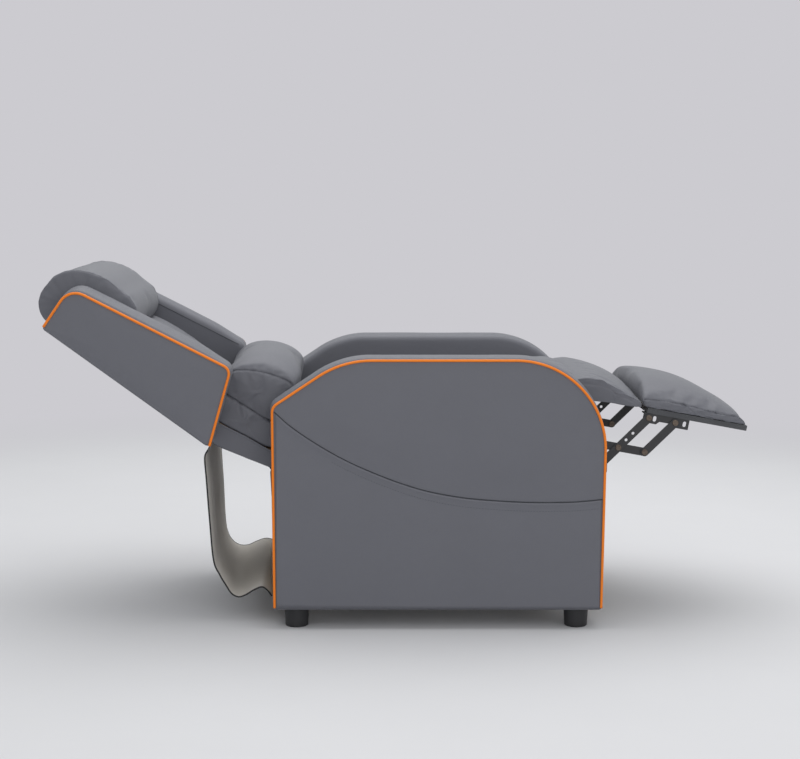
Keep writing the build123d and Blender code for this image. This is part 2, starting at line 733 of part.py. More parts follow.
with BuildPart() as back_frame:
    with BuildSketch(BACK_PLANE.offset(-SWING_Y)):
        with BuildLine():
            Polyline(
                (FRAME_START, FRAME_START_REAR),
                (FRAME_KNEE, FRAME_REAR),
                (FRAME_LENGTH, FRAME_REAR),
                (FRAME_LENGTH, FRAME_REAR + FRAME_DEPTH),
                (FRAME_BEND, FRAME_REAR + FRAME_DEPTH),
                (FRAME_START, FRAME_START_FRONT),
                close=True,
            )
        make_face()
    extrude(amount=2 * SWING_Y)
    window_top = FRAME_LENGTH - FRAME_RAIL
    window_middle = (FRAME_START + FRAME_LENGTH) / 2
    with BuildSketch(Plane(BACK_PLANE.origin, BACK_PLANE.x_dir, BACK_PLANE.y_dir)):
        for low, high in (
            (FRAME_START + FRAME_RAIL, window_middle - FRAME_RAIL / 2),
            (window_middle + FRAME_RAIL / 2, window_top),
        ):
            with Locations(((low + high) / 2, 0)):
                Rectangle(high - low, 2 * (SWING_Y - FRAME_STILE))
    extrude(amount=FRAME_LENGTH, both=True, mode=Mode.SUBTRACT)
    with BuildSketch(BACK_PLANE.offset(-SWING_Y)):
        with Locations(*BACK_BOLTS):
            Circle(BOLT_RADIUS)
    extrude(amount=BACK_BOLT_LENGTH, mode=Mode.SUBTRACT)
    with BuildSketch(BACK_PLANE.offset(SWING_Y)):
        with Locations(*BACK_BOLTS):
            Circle(BOLT_RADIUS)
    extrude(amount=-BACK_BOLT_LENGTH, mode=Mode.SUBTRACT)

with BuildPart() as back_webbing:
    with BuildSketch(BACK_PLANE.offset(-SWING_Y)):
        with Locations(
            *[
                (WEBBING_FIRST + i * WEBBING_PITCH, FRAME_REAR + FRAME_DEPTH)
                for i in range(WEBBING_COUNT)
            ]
        ):
            Rectangle(
                WEBBING_WIDTH, WEBBING_THICKNESS, align=(Align.CENTER, Align.MIN)
            )
    extrude(amount=2 * SWING_Y)

with BuildPart() as back_panel:
    with BuildSketch(BACK_PLANE.offset(-SWING_Y)):
        with BuildLine():
            Polyline(
                (FRAME_LENGTH, FRAME_REAR),
                (FRAME_KNEE, FRAME_REAR),
                (FRAME_START, FRAME_START_REAR),
                (FRAME_START, FRAME_START_REAR - BACK_PANEL),
                (FRAME_KNEE, FRAME_REAR - BACK_PANEL),
                (FRAME_LENGTH, FRAME_REAR - BACK_PANEL),
                close=True,
            )
        make_face()
    extrude(amount=2 * SWING_Y)

# Boards that join the wings to the sides of the frame
with BuildPart() as wing_boards:
    with BuildSketch(BACK_PLANE.offset(-WING_INNER)):
        with Locations((WING_BOARD_START, FRAME_REAR)):
            Rectangle(FRAME_LENGTH - WING_BOARD_START, FRAME_DEPTH, align=Align.MIN)
    extrude(amount=WING_INNER - SWING_Y)
    mirror(about=Plane.XZ)

BACK_ARM_END = BACK_PLANE.to_local_coords(
    Vector(SEAT_REAR_PIVOT[0], 0, SEAT_REAR_PIVOT[1])
)
BACK_ARM_END = (BACK_ARM_END.X, BACK_ARM_END.Y)

with BuildPart() as back_brackets:
    with BuildSketch(BACK_PLANE.offset(-SWING_Y - STEEL)):
        for start, end, width in (
            (BACK_ARM_END, (0, 0), BACK_ARM_WIDTH),
            ((0, 0), BRACKET_BEND, BACK_ARM_WIDTH),
            (BRACKET_BEND, BRACKET_TOP, BRACKET_WIDTH),
        ):
            span = hypot(end[0] - start[0], end[1] - start[1])
            lean = degrees(atan2(end[1] - start[1], end[0] - start[0]))
            with Locations(((start[0] + end[0]) / 2, (start[1] + end[1]) / 2)):
                SlotCenterToCenter(span, width, rotation=lean)
        with Locations((0, 0)):
            Circle(PIVOT_RADIUS + PIN_CLEARANCE, mode=Mode.SUBTRACT)
        with Locations(BACK_ARM_END):
            Circle(PIVOT_RADIUS, mode=Mode.SUBTRACT)
        with Locations(*BACK_BOLTS):
            Circle(BOLT_RADIUS, mode=Mode.SUBTRACT)
    extrude(amount=STEEL)
    mirror(about=Plane.XZ)

with BuildPart() as back_bolts:
    with BuildSketch(BACK_PLANE.offset(-SWING_Y - STEEL)):
        with Locations(*BACK_BOLTS):
            Circle(BOLT_RADIUS)
    extrude(amount=STEEL + BACK_BOLT_LENGTH)
    with BuildSketch(BACK_PLANE.offset(-SWING_Y - STEEL)):
        with Locations(*BACK_BOLTS):
            Circle(BOLT_HEAD_RADIUS)
    extrude(amount=-BACK_BOLT_HEAD)
    mirror(about=Plane.XZ)

# Pins of the back brackets that carry the rear of the seat
with BuildPart() as seat_rear_pins:
    with Locations(*outward([SEAT_REAR_PIVOT], SEAT_PLATE_Y - HEAD_GAP - PIVOT_HEAD)):
        Cylinder(PIVOT_HEAD_RADIUS, PIVOT_HEAD, align=ON_END)
    with Locations(*outward([SEAT_REAR_PIVOT], SEAT_PLATE_Y - HEAD_GAP)):
        Cylinder(PIVOT_RADIUS, SWING_Y + STEEL - SEAT_PLATE_Y + HEAD_GAP, align=ON_END)
    with Locations(*outward([SEAT_REAR_PIVOT], SEAT_PLATE_Y + STEEL + HEAD_GAP)):
        Cylinder(
            PIVOT_COLLAR_RADIUS, SWING_Y - SEAT_PLATE_Y - STEEL - HEAD_GAP, align=ON_END
        )
    mirror(about=Plane.XZ)

# Front links that carry the seat, hung from the base plates
with BuildPart() as swing_links:
    link_angle = degrees(atan2(-BACK_ARM_Z, -BACK_ARM_X))
    with BuildSketch(side_plane(SWING_Y)):
        with Locations(
            (
                (SWING_SEAT_PIVOT[0] + SWING_BASE_PIVOT[0]) / 2,
                (SWING_SEAT_PIVOT[1] + SWING_BASE_PIVOT[1]) / 2,
            )
        ):
            SlotCenterToCenter(
                hypot(BACK_ARM_X, BACK_ARM_Z), SWING_WIDTH, rotation=link_angle
            )
        with Locations(SWING_BASE_PIVOT):
            Circle(PIVOT_RADIUS + PIN_CLEARANCE, mode=Mode.SUBTRACT)
        with Locations(SWING_SEAT_PIVOT):
            Circle(PIVOT_RADIUS, mode=Mode.SUBTRACT)
    extrude(amount=STEEL)
    mirror(about=Plane.XZ)

with BuildPart() as swing_pins:
    with Locations(*outward([SWING_SEAT_PIVOT], SEAT_PLATE_Y - HEAD_GAP - PIVOT_HEAD)):
        Cylinder(PIVOT_HEAD_RADIUS, PIVOT_HEAD, align=ON_END)
    with Locations(*outward([SWING_SEAT_PIVOT], SEAT_PLATE_Y - HEAD_GAP)):
        Cylinder(PIVOT_RADIUS, SWING_Y + STEEL - SEAT_PLATE_Y + HEAD_GAP, align=ON_END)
    with Locations(*outward([SWING_SEAT_PIVOT], SEAT_PLATE_Y + STEEL + HEAD_GAP)):
        Cylinder(
            PIVOT_COLLAR_RADIUS, SWING_Y - SEAT_PLATE_Y - STEEL - HEAD_GAP, align=ON_END
        )
    mirror(about=Plane.XZ)

# Wings

with BuildPart() as wing_near:
    for distance, crown in (
        (WING_INNER, 0.0),
        ((WING_INNER + PIPING_Y) / 2, WING_CROWN),
        (PIPING_Y - PIPING_RADIUS, 0.0),
    ):
        with BuildSketch(BACK_PLANE.offset(-distance)):
            with BuildLine():
                FilletPolyline(*wing_points(crown), radius=WING_RADII)
                Line(wing_points(crown)[0], wing_points(crown)[-1])
            make_face()
    loft()
    with BuildSketch(BACK_PLANE.offset(-PIPING_Y)):
        with BuildLine():
            FilletPolyline(*wing_points(), radius=WING_RADII)
            Line(wing_points()[0], wing_points()[-1])
        make_face()
        offset(amount=-PIPING_RADIUS, kind=Kind.INTERSECTION)
    extrude(amount=PIPING_RADIUS)

with BuildPart() as wing_piping_near:
    with BuildLine(BACK_PLANE.offset(-PIPING_Y)) as wing_seam:
        FilletPolyline(*wing_points()[1:], radius=WING_RADII[1:])
    with BuildSketch(Plane(origin=wing_seam.wire() @ 0, z_dir=wing_seam.wire() % 0)):
        Circle(PIPING_RADIUS)
    sweep()

with BuildPart() as wing_far:
    mirror(wing_near.part, about=Plane.XZ)
with BuildPart() as wing_piping_far:
    mirror(wing_piping_near.part, about=Plane.XZ)

# Pads of the back

LUMBAR_SIDE_SHARES = [
    [(0.0, 0.066)], [(0.87, 0.0105)], [(0.96, 0.28), (0.84, 0.44)],
    [(0.48, 0.64), (0.05, 0.74)], [(-0.01, 0.44), (0.0, 0.066)],
]
LUMBAR_CENTRE_SHARES = [
    [(0.0, 0.066)], [(0.87, 0.0105)], [(0.99, 0.37), (0.89, 0.62)],
    [(0.54, 0.91), (0.08, 1.0)], [(-0.02, 0.64), (0.0, 0.066)],
]

with BuildPart() as lumbar_cushion:
    for place, fullness in WIDTH_SHARES:
        moves = placed(
            mixed(LUMBAR_SIDE_SHARES, LUMBAR_CENTRE_SHARES, fullness),
            LUMBAR_START, LUMBAR_BASE, LUMBAR_LENGTH, LUMBAR_DEPTH,
        )
        with BuildSketch(BACK_PLANE.offset(place * CUSHION_HALF_WIDTH)):
            with BuildLine():
                draw(moves[0][0], *moves[1:])
            make_face()
    loft(ruled=True)

PILLOW_SIDE_SHARES = [
    [(0.06, 0.2686)], [(0.745, 0.2686)], [(0.745, 0.0)], [(0.79, 0.0)],
    [(0.955, 0.183), (0.995, 0.402)], [(0.94, 0.639), (0.81, 0.804)],
    [(0.55, 0.875), (0.30, 0.899)], [(0.12, 0.858), (0.06, 0.722)],
    [(0.045, 0.497), (0.06, 0.2686)],
]
PILLOW_CENTRE_SHARES = [
    [(0.06, 0.2686)], [(0.745, 0.2686)], [(0.745, 0.0)], [(0.79, 0.0)],
    [(0.965, 0.183), (1.01, 0.426)], [(0.96, 0.71), (0.80, 0.881)],
    [(0.56, 0.975), (0.30, 1.0)], [(0.09, 0.965), (0.02, 0.80)],
    [(0.02, 0.53), (0.06, 0.2686)],
]

with BuildPart() as head_pillow:
    for place, fullness in WIDTH_SHARES:
        moves = placed(
            mixed(PILLOW_SIDE_SHARES, PILLOW_CENTRE_SHARES, fullness),
            PILLOW_START, PILLOW_BASE, PILLOW_LENGTH, PILLOW_DEPTH,
        )
        with BuildSketch(BACK_PLANE.offset(place * CUSHION_HALF_WIDTH)):
            with BuildLine():
                draw(moves[0][0], *moves[1:])
            make_face()
    loft(ruled=True)

with BuildPart() as back_pad:
    pad_rear = FRAME_REAR + FRAME_DEPTH + WEBBING_THICKNESS
    for place, fullness in WIDTH_SHARES:
        front = BACK_PAD_FRONT - BACK_PAD_SIDE_DROP * (1 - fullness)
        shoulder = front - BACK_PAD_SHOULDER
        with BuildSketch(BACK_PLANE.offset(place * CUSHION_HALF_WIDTH)):
            with BuildLine():
                draw(
                    (BACK_PAD_START, pad_rear),
                    [(BACK_PAD_END, pad_rear)],
                    [(BACK_PAD_END, shoulder)],
                    [((BACK_PAD_START + BACK_PAD_END) / 2, front), (BACK_PAD_START, shoulder)],
                )
            make_face()
    loft(ruled=True)

with BuildPart() as lower_back_pad:
    frame_front = FRAME_REAR + FRAME_DEPTH
    bend_slope = (FRAME_START_FRONT - frame_front) / (FRAME_BEND - FRAME_START)
    with BuildSketch(BACK_PLANE.offset(-CUSHION_HALF_WIDTH)):
        with BuildLine():
            Polyline(
                (PAD_START, FRAME_START_FRONT - bend_slope * (PAD_START - FRAME_START)),
                (FRAME_BEND, frame_front),
                (WEBBING_FIRST - WEBBING_WIDTH / 2, frame_front),
                (WEBBING_FIRST - WEBBING_WIDTH / 2, frame_front + WEBBING_THICKNESS),
                (PAD_JOIN, frame_front + WEBBING_THICKNESS),
                (PAD_JOIN, PAD_JOIN_FRONT),
                (PAD_START, PAD_LOW_FRONT),
                close=True,
            )
        make_face()
    extrude(amount=2 * CUSHION_HALF_WIDTH)

# Seat

with BuildPart() as seat_frame:
    with BuildSketch(side_plane(-SEAT_PLATE_Y)):
        with BuildLine():
            Polyline(
                (SEAT_REAR, seat_line(SEAT_REAR) - SEAT_FRAME_DEPTH),
                (SEAT_REAR, seat_line(SEAT_REAR)),
                (SEAT_FRAME_FRONT, seat_line(SEAT_FRAME_FRONT)),
                (SEAT_FRAME_FRONT, seat_line(SEAT_FRAME_FRONT) - SEAT_FRAME_DEPTH),
                close=True,
            )
        make_face()
    extrude(amount=2 * SEAT_PLATE_Y)
    with BuildSketch(Plane.XY.offset(seat_line(SEAT_REAR) - 2 * SEAT_FRAME_DEPTH)):
        with Locations(((SEAT_REAR + SEAT_FRAME_FRONT) / 2, 0)):
            Rectangle(
                SEAT_FRAME_FRONT - SEAT_REAR - 2 * SEAT_RAIL,
                2 * (SEAT_PLATE_Y - SEAT_RAIL),
            )
    extrude(amount=2 * SEAT_PLATE_Y, mode=Mode.SUBTRACT)
    with BuildSketch(side_plane(-SEAT_PLATE_Y)):
        with Locations(DRIVE_PIVOT):
            Circle(TUBE_HOLE_RADIUS)
    extrude(amount=2 * SEAT_PLATE_Y, mode=Mode.SUBTRACT)
    with BuildSketch(side_plane(SEAT_PLATE_Y)):
        with Locations(*SEAT_BOLTS):
            Circle(BOLT_RADIUS)
    extrude(amount=-SEAT_BOLT_LENGTH, mode=Mode.SUBTRACT)
    with BuildSketch(side_plane(-SEAT_PLATE_Y)):
        with Locations(*SEAT_BOLTS):
            Circle(BOLT_RADIUS)
    extrude(amount=SEAT_BOLT_LENGTH, mode=Mode.SUBTRACT)

SPRING_PLANE = Plane(
    origin=(SEAT_REAR, 0, SEAT_FRAME_REAR_TOP - SPRING_DROP),
    x_dir=(1, 0, SEAT_SLOPE),
    z_dir=(-SEAT_SLOPE, 0, 1),
)

with BuildPart() as seat_spring:
    spring_first = SEAT_RAIL + SPRING_END
    spring_span = hypot(1, SEAT_SLOPE) * (SEAT_FRAME_FRONT - SEAT_REAR)
    spring_step = (spring_span - 2 * spring_first) / (2 * SPRING_WAVES)
    bends = []
    for i in range(2 * SPRING_WAVES):
        side = SPRING_SWING if i % 2 == 0 else -SPRING_SWING
        bends.append((spring_first + i * spring_step, side))
        bends.append((spring_first + (i + 1) * spring_step, side))
    spring_points = [(SEAT_RAIL - SPRING_GRIP, 0), (spring_first, 0)]
    spring_points += bends
    spring_points += [
        (spring_span - spring_first, 0), (spring_span - SEAT_RAIL + SPRING_GRIP, 0)
    ]
    with BuildLine(SPRING_PLANE) as spring_line:
        FilletPolyline(*spring_points, radius=SPRING_BEND)
    with BuildSketch(Plane(origin=spring_line.wire() @ 0, z_dir=spring_line.wire() % 0)):
        Circle(SPRING_WIRE)
    sweep()

with BuildPart() as seat_springs:
    with Locations(
        *[
            Pos(0, (i - (SPRING_COUNT - 1) / 2) * SPRING_PITCH, 0)
            for i in range(SPRING_COUNT)
        ]
    ):
        add(seat_spring.part)
    add(seat_frame.part, mode=Mode.SUBTRACT)


def nose_point(angle, radius=NOSE_RADIUS):
    """Point about the nose of the seat, in the side view."""
    return along((NOSE_X, NOSE_Z), angle, radius)


SEAT_CENTRE = [
    [(SEAT_REAR, SEAT_FRAME_REAR_TOP + SEAT_REAR_HEIGHT)],
    [(SEAT_REAR + SEAT_ROUND_SHARE * SEAT_REAR_ROUND, SEAT_REAR_ROUND_Z),
     (SEAT_REAR + SEAT_REAR_ROUND, SEAT_SHOULDER_Z)],
    [(SEAT_MIDDLE_X, SEAT_MIDDLE_Z), (SEAT_CREST_X, SEAT_CREST_Z)],
    [(SEAT_FALL_X, SEAT_FALL_Z), nose_point(90)],
]

with BuildPart() as seat_cushion:
    for place, fullness in WIDTH_SHARES:
        drop = SEAT_SIDE_DROP * (1 - fullness)
        with BuildSketch(Plane.XZ.offset(-place * SEAT_HALF_WIDTH)):
            with BuildLine():
                top = [[(x, z - drop) for x, z in move] for move in SEAT_CENTRE]
                top[-1][-1] = nose_point(90)
                draw(
                    (SEAT_REAR, SEAT_FRAME_REAR_TOP),
                    *top,
                    [nose_point(45), nose_point(0)],
                    [nose_point(-45), nose_point(-90)],
                    [nose_point(NOSE_LOW_ANGLE)],
                    [(SEAT_FACE_X, seat_line(SEAT_FRAME_FRONT))],
                    [(SEAT_FRAME_FRONT, seat_line(SEAT_FRAME_FRONT))],
                )
            make_face()
    loft(ruled=True)

seat_angle = degrees(atan2(SEAT_SLOPE, 1))

with BuildPart() as seat_plates:
    with BuildSketch(side_plane(SEAT_PLATE_Y)):
        with BuildLine():
            FilletPolyline(
                *spread(
                    SEAT_PLATE_SHARES, SEAT_PLATE_X, SEAT_PLATE_Z,
                    SEAT_PLATE_LENGTH, SEAT_PLATE_HEIGHT,
                ),
                radius=PLATE_RADIUS, close=True,
            )
        make_face()
        with Locations(SEAT_REAR_PIVOT, SWING_SEAT_PIVOT, DRIVE_PIVOT):
            Circle(PIVOT_RADIUS + PIN_CLEARANCE, mode=Mode.SUBTRACT)
        with Locations(*SEAT_BOLTS):
            Circle(BOLT_RADIUS, mode=Mode.SUBTRACT)
        with Locations(*CAM_STUDS):
            Circle(STUD_TENON_RADIUS, mode=Mode.SUBTRACT)
        with Locations(*SEAT_PLATE_WINDOWS):
            SlotOverall(
                LIGHTENING_LENGTH, LIGHTENING_WIDTH, rotation=seat_angle,
                mode=Mode.SUBTRACT,
            )
    extrude(amount=STEEL)
    mirror(about=Plane.XZ)

with BuildPart() as cam_plates:
    with BuildSketch(side_plane(CAM_PLATE_Y)):
        with BuildLine():
            FilletPolyline(
                *spread(
                    CAM_PLATE_SHARES, CAM_PLATE_X, CAM_PLATE_Z,
                    CAM_PLATE_LENGTH, CAM_PLATE_HEIGHT,
                ),
                radius=PLATE_RADIUS, close=True,
            )
        make_face()
        with Locations(*CAM_STUDS):
            Circle(STUD_TENON_RADIUS, mode=Mode.SUBTRACT)
    extrude(amount=STEEL)
    with BuildSketch(side_plane(CAM_PLATE_Y)):
        with BuildLine():
            Spline(*[cam_point(FOLD_ANGLE * i / CAM_STEPS) for i in range(CAM_STEPS + 1)])
        trace(line_width=2 * (CAM_ROLLER_RADIUS + CAM_CLEARANCE))
        with Locations(cam_point(0), cam_point(FOLD_ANGLE)):
            Circle(CAM_ROLLER_RADIUS + CAM_CLEARANCE)
    extrude(amount=STEEL, mode=Mode.SUBTRACT)
    mirror(about=Plane.XZ)

with BuildPart() as cam_studs:
    with Locations(*outward(CAM_STUDS, SEAT_PLATE_Y)):
        Cylinder(STUD_TENON_RADIUS, CAM_PLATE_Y + STEEL - SEAT_PLATE_Y, align=ON_END)
    with Locations(*outward(CAM_STUDS, SEAT_PLATE_Y + STEEL)):
        Cylinder(PIVOT_RADIUS, CAM_PLATE_Y - SEAT_PLATE_Y - STEEL, align=ON_END)
    mirror(about=Plane.XZ)

with BuildPart() as seat_bolts:
    with Locations(*outward(SEAT_BOLTS, SEAT_PLATE_Y - SEAT_BOLT_LENGTH)):
        Cylinder(BOLT_RADIUS, SEAT_BOLT_LENGTH + STEEL, align=ON_END)
    with Locations(*outward(SEAT_BOLTS, SEAT_PLATE_Y + STEEL)):
        Cylinder(BOLT_HEAD_RADIUS, SEAT_BOLT_HEAD, align=ON_END)
    mirror(about=Plane.XZ)

# Front section of the seat

with BuildPart() as bridge_pad:
    for place, fullness in WIDTH_SHARES:
        drop = BRIDGE_SIDE_DROP * (1 - fullness)
        reach = NOSE_RADIUS + NOSE_GAP
        with BuildSketch(Plane.XZ.offset(-place * SEAT_HALF_WIDTH)):
            with BuildLine():
                draw(
                    nose_point(BRIDGE_TOP_ANGLE, reach),
                    [
                        nose_point((BRIDGE_TOP_ANGLE + BRIDGE_LOW_ANGLE) / 2, reach),
                        nose_point(BRIDGE_LOW_ANGLE, reach),
                    ],
                    [(BRIDGE_SAG_X, BRIDGE_SAG_Z), (BRIDGE_FRONT_X, BRIDGE_FRONT_BOTTOM)],
                    [(BRIDGE_FRONT_X, BRIDGE_FRONT_TOP)],
                    [
                        (BRIDGE_CREST_X, BRIDGE_CREST_Z - drop),
                        nose_point(BRIDGE_TOP_ANGLE, reach),
                    ],
                )
            make_face()
    loft(ruled=True)

# Footrest linkage

with BuildPart() as drive_tube:
    with BuildSketch(side_plane(-SEAT_PLATE_Y + TUBE_END_GAP)):
        with Locations(DRIVE_PIVOT):
            Circle(TUBE_RADIUS)
            Circle(TUBE_RADIUS - TUBE_WALL, mode=Mode.SUBTRACT)
    extrude(amount=2 * (SEAT_PLATE_Y - TUBE_END_GAP))

with BuildPart() as drive_pivots:
    tube_end = SEAT_PLATE_Y - TUBE_END_GAP
    with Locations(*outward([DRIVE_PIVOT], tube_end - PLUG_LENGTH)):
        Cylinder(TUBE_RADIUS - TUBE_WALL, PLUG_LENGTH, align=ON_END)
    with Locations(*outward([DRIVE_PIVOT], tube_end)):
        Cylinder(PIVOT_RADIUS, DRIVE_LAYER_Y + STEEL - tube_end, align=ON_END)
    with Locations(*outward([DRIVE_PIVOT], SEAT_PLATE_Y + STEEL + HEAD_GAP)):
        Cylinder(
            PIVOT_COLLAR_RADIUS, DRIVE_LAYER_Y - SEAT_PLATE_Y - STEEL - HEAD_GAP,
            align=ON_END,
        )
    with Locations(*outward([DRIVE_PIVOT], DRIVE_LAYER_Y + STEEL)):
        Cylinder(PIVOT_HEAD_RADIUS, DRIVE_HEAD, align=ON_END)
    mirror(about=Plane.XZ)

with BuildPart() as drive_links:
    with BuildSketch(side_plane(DRIVE_LAYER_Y)):
        with Locations(along(DRIVE_PIVOT, FOOTREST_TILT, (DRIVE_SPAN + SHORT_SPAN) / 2)):
            SlotCenterToCenter(DRIVE_SPAN + SHORT_SPAN, STRAP_WIDTH, rotation=FOOTREST_TILT)
        with Locations(DRIVE_PIVOT):
            Circle(PIVOT_RADIUS, mode=Mode.SUBTRACT)
        with Locations(CROSS, ELBOW):
            Circle(RIVET_RADIUS + PIN_CLEARANCE, mode=Mode.SUBTRACT)
    extrude(amount=STEEL)
    mirror(about=Plane.XZ)

with BuildPart() as cross_links:
    with BuildSketch(side_plane(REACH_LAYER_Y)):
        with Locations(along(CROSS, REACH_ANGLE, (LONG_SPAN - CAM_SPAN) / 2)):
            SlotCenterToCenter(LONG_SPAN + CAM_SPAN, STRAP_WIDTH, rotation=REACH_ANGLE)
        with Locations(CROSS):
            Circle(RIVET_RADIUS, mode=Mode.SUBTRACT)
        with Locations(CAM):
            Circle(CAM_PIN_RADIUS, mode=Mode.SUBTRACT)
        with Locations(BRACKET_REAR):
            Circle(RIVET_RADIUS + PIN_CLEARANCE, mode=Mode.SUBTRACT)
        with Locations(
            along(CROSS, REACH_ANGLE, LINK_HOLE_FIRST),
            along(CROSS, REACH_ANGLE, LINK_HOLE_FIRST + LINK_HOLE_PITCH),
        ):
            Circle(LINK_HOLE_RADIUS, mode=Mode.SUBTRACT)
    extrude(amount=STEEL)
    mirror(about=Plane.XZ)

with BuildPart() as lower_links:
    with BuildSketch(side_plane(REACH_LAYER_Y)):
        with Locations(along(ELBOW, REACH_ANGLE, LONG_SPAN / 2)):
            SlotCenterToCenter(LONG_SPAN, STRAP_WIDTH, rotation=REACH_ANGLE)
        with Locations(ELBOW):
            Circle(RIVET_RADIUS, mode=Mode.SUBTRACT)
        with Locations(BRACKET_FRONT):
            Circle(RIVET_RADIUS + PIN_CLEARANCE, mode=Mode.SUBTRACT)
    extrude(amount=STEEL)
    mirror(about=Plane.XZ)

with BuildPart() as crossing_rivets:
    with Locations(*outward([CROSS], DRIVE_LAYER_Y - HEAD_GAP)):
        Cylinder(RIVET_RADIUS, RIVET_GRIP, align=ON_END)
    with Locations(*outward([CROSS], DRIVE_LAYER_Y - HEAD_GAP - RIVET_HEAD)):
        Cylinder(RIVET_HEAD_RADIUS, RIVET_HEAD, align=ON_END)
    with Locations(*outward([CROSS], REACH_LAYER_Y + STEEL)):
        Cylinder(RIVET_HEAD_RADIUS, RIVET_HEAD, align=ON_END)
    chamfer(crossing_rivets.edges().group_by(Axis.Y)[0], HEAD_CHAMFER)
    mirror(about=Plane.XZ)

with BuildPart() as elbow_rivets:
    with Locations(*outward([ELBOW], DRIVE_LAYER_Y - HEAD_GAP)):
        Cylinder(RIVET_RADIUS, RIVET_GRIP, align=ON_END)
    with Locations(*outward([ELBOW], DRIVE_LAYER_Y - HEAD_GAP - RIVET_HEAD)):
        Cylinder(RIVET_HEAD_RADIUS, RIVET_HEAD, align=ON_END)
    with Locations(*outward([ELBOW], REACH_LAYER_Y + STEEL)):
        Cylinder(RIVET_HEAD_RADIUS, RIVET_HEAD, align=ON_END)
    chamfer(elbow_rivets.edges().group_by(Axis.Y)[0], HEAD_CHAMFER)
    mirror(about=Plane.XZ)

with BuildPart() as cam_pins:
    with Locations(*outward([CAM], REACH_LAYER_Y - RIVET_HEAD)):
        Cylinder(RIVET_HEAD_RADIUS, RIVET_HEAD, align=ON_END)
    with Locations(*outward([CAM], REACH_LAYER_Y)):
        Cylinder(CAM_PIN_RADIUS, CAM_PLATE_Y + STEEL + HEAD_GAP - REACH_LAYER_Y, align=ON_END)
    with Locations(*outward([CAM], REACH_LAYER_Y + STEEL)):
        Cylinder(RIVET_HEAD_RADIUS, RIVET_HEAD, align=ON_END)
    with Locations(*outward([CAM], CAM_PLATE_Y + STEEL + HEAD_GAP)):
        Cylinder(CAM_CLIP_RADIUS, CAM_CLIP, align=ON_END)
    mirror(about=Plane.XZ)

with BuildPart() as cam_rollers:
    with BuildSketch(side_plane(CAM_PLATE_Y)):
        with Locations(CAM):
            Circle(CAM_ROLLER_RADIUS)
            Circle(CAM_PIN_RADIUS + PIN_CLEARANCE, mode=Mode.SUBTRACT)
    extrude(amount=STEEL)
    mirror(about=Plane.XZ)

# Footrest

with BuildPart() as footrest_brackets:
    with BuildSketch(FOOTREST_PLANE.offset(DRIVE_LAYER_Y)):
        with BuildLine():
            Polyline(
                (BRACKET_START, BRACKET_TOP_EDGE - BRACKET_DEPTH + BRACKET_STEP),
                (BRACKET_START + BRACKET_STEP, BRACKET_TOP_EDGE - BRACKET_DEPTH),
                (BRACKET_STEP_START - BRACKET_STEP, BRACKET_TOP_EDGE - BRACKET_DEPTH),
                (BRACKET_STEP_START, BRACKET_TOP_EDGE - BRACKET_DEPTH + BRACKET_STEP),
                (BRACKET_STEP_END, BRACKET_TOP_EDGE - BRACKET_DEPTH + BRACKET_STEP),
                (BRACKET_STEP_END + BRACKET_STEP, BRACKET_TOP_EDGE - BRACKET_DEPTH),
                (BRACKET_START + BRACKET_LENGTH, BRACKET_TOP_EDGE - BRACKET_DEPTH),
                (BRACKET_START + BRACKET_LENGTH, BRACKET_TOP_EDGE),
                (BRACKET_START, BRACKET_TOP_EDGE),
                close=True,
            )
        make_face()
        with Locations((0, 0), (SHORT_SPAN, 0)):
            Circle(RIVET_RADIUS, mode=Mode.SUBTRACT)
        with Locations((BRACKET_SLOT_FIRST, 0), (BRACKET_SLOT_SECOND, 0)):
            SlotOverall(
                BRACKET_SLOT_HEIGHT, BRACKET_SLOT_WIDTH, rotation=90, mode=Mode.SUBTRACT
            )
    extrude(amount=STEEL)
    with BuildSketch(FOOTREST_PLANE.offset(DRIVE_LAYER_Y)):
        with Locations((BRACKET_START, BRACKET_TOP_EDGE)):
            Rectangle(BRACKET_LENGTH, STEEL, align=(Align.MIN, Align.MAX))
    extrude(amount=STEEL - BRACKET_FLANGE)
    with BuildSketch(
        Plane(
            FOOTREST_PLANE.origin, x_dir=FOOTREST_PLANE.x_dir, z_dir=FOOTREST_PLANE.y_dir
        )
    ):
        with Locations(*[(place, -SCREW_Y) for place in SCREW_PLACES]):
            Circle(SCREW_RADIUS)
    extrude(amount=BOARD_UNDERSIDE, mode=Mode.SUBTRACT)
    mirror(about=Plane.XZ)

with BuildPart() as bracket_rivets:
    bracket_pivots = [BRACKET_REAR, BRACKET_FRONT]
    with Locations(*outward(bracket_pivots, DRIVE_LAYER_Y)):
        Cylinder(RIVET_RADIUS, RIVET_GRIP, align=ON_END)
    with Locations(*outward(bracket_pivots, DRIVE_LAYER_Y - RIVET_HEAD)):
        Cylinder(RIVET_HEAD_RADIUS, RIVET_HEAD, align=ON_END)
    with Locations(*outward(bracket_pivots, DRIVE_LAYER_Y + RIVET_GRIP)):
        Cylinder(RIVET_HEAD_RADIUS, RIVET_HEAD, align=ON_END)
    chamfer(bracket_rivets.edges().group_by(Axis.Y)[0], HEAD_CHAMFER)
    mirror(about=Plane.XZ)

BOARD_PLANE = Plane(
    FOOTREST_PLANE.origin, x_dir=FOOTREST_PLANE.x_dir, z_dir=FOOTREST_PLANE.y_dir
)
SCREWS = [(place, side * SCREW_Y) for place in SCREW_PLACES for side in (-1, 1)]

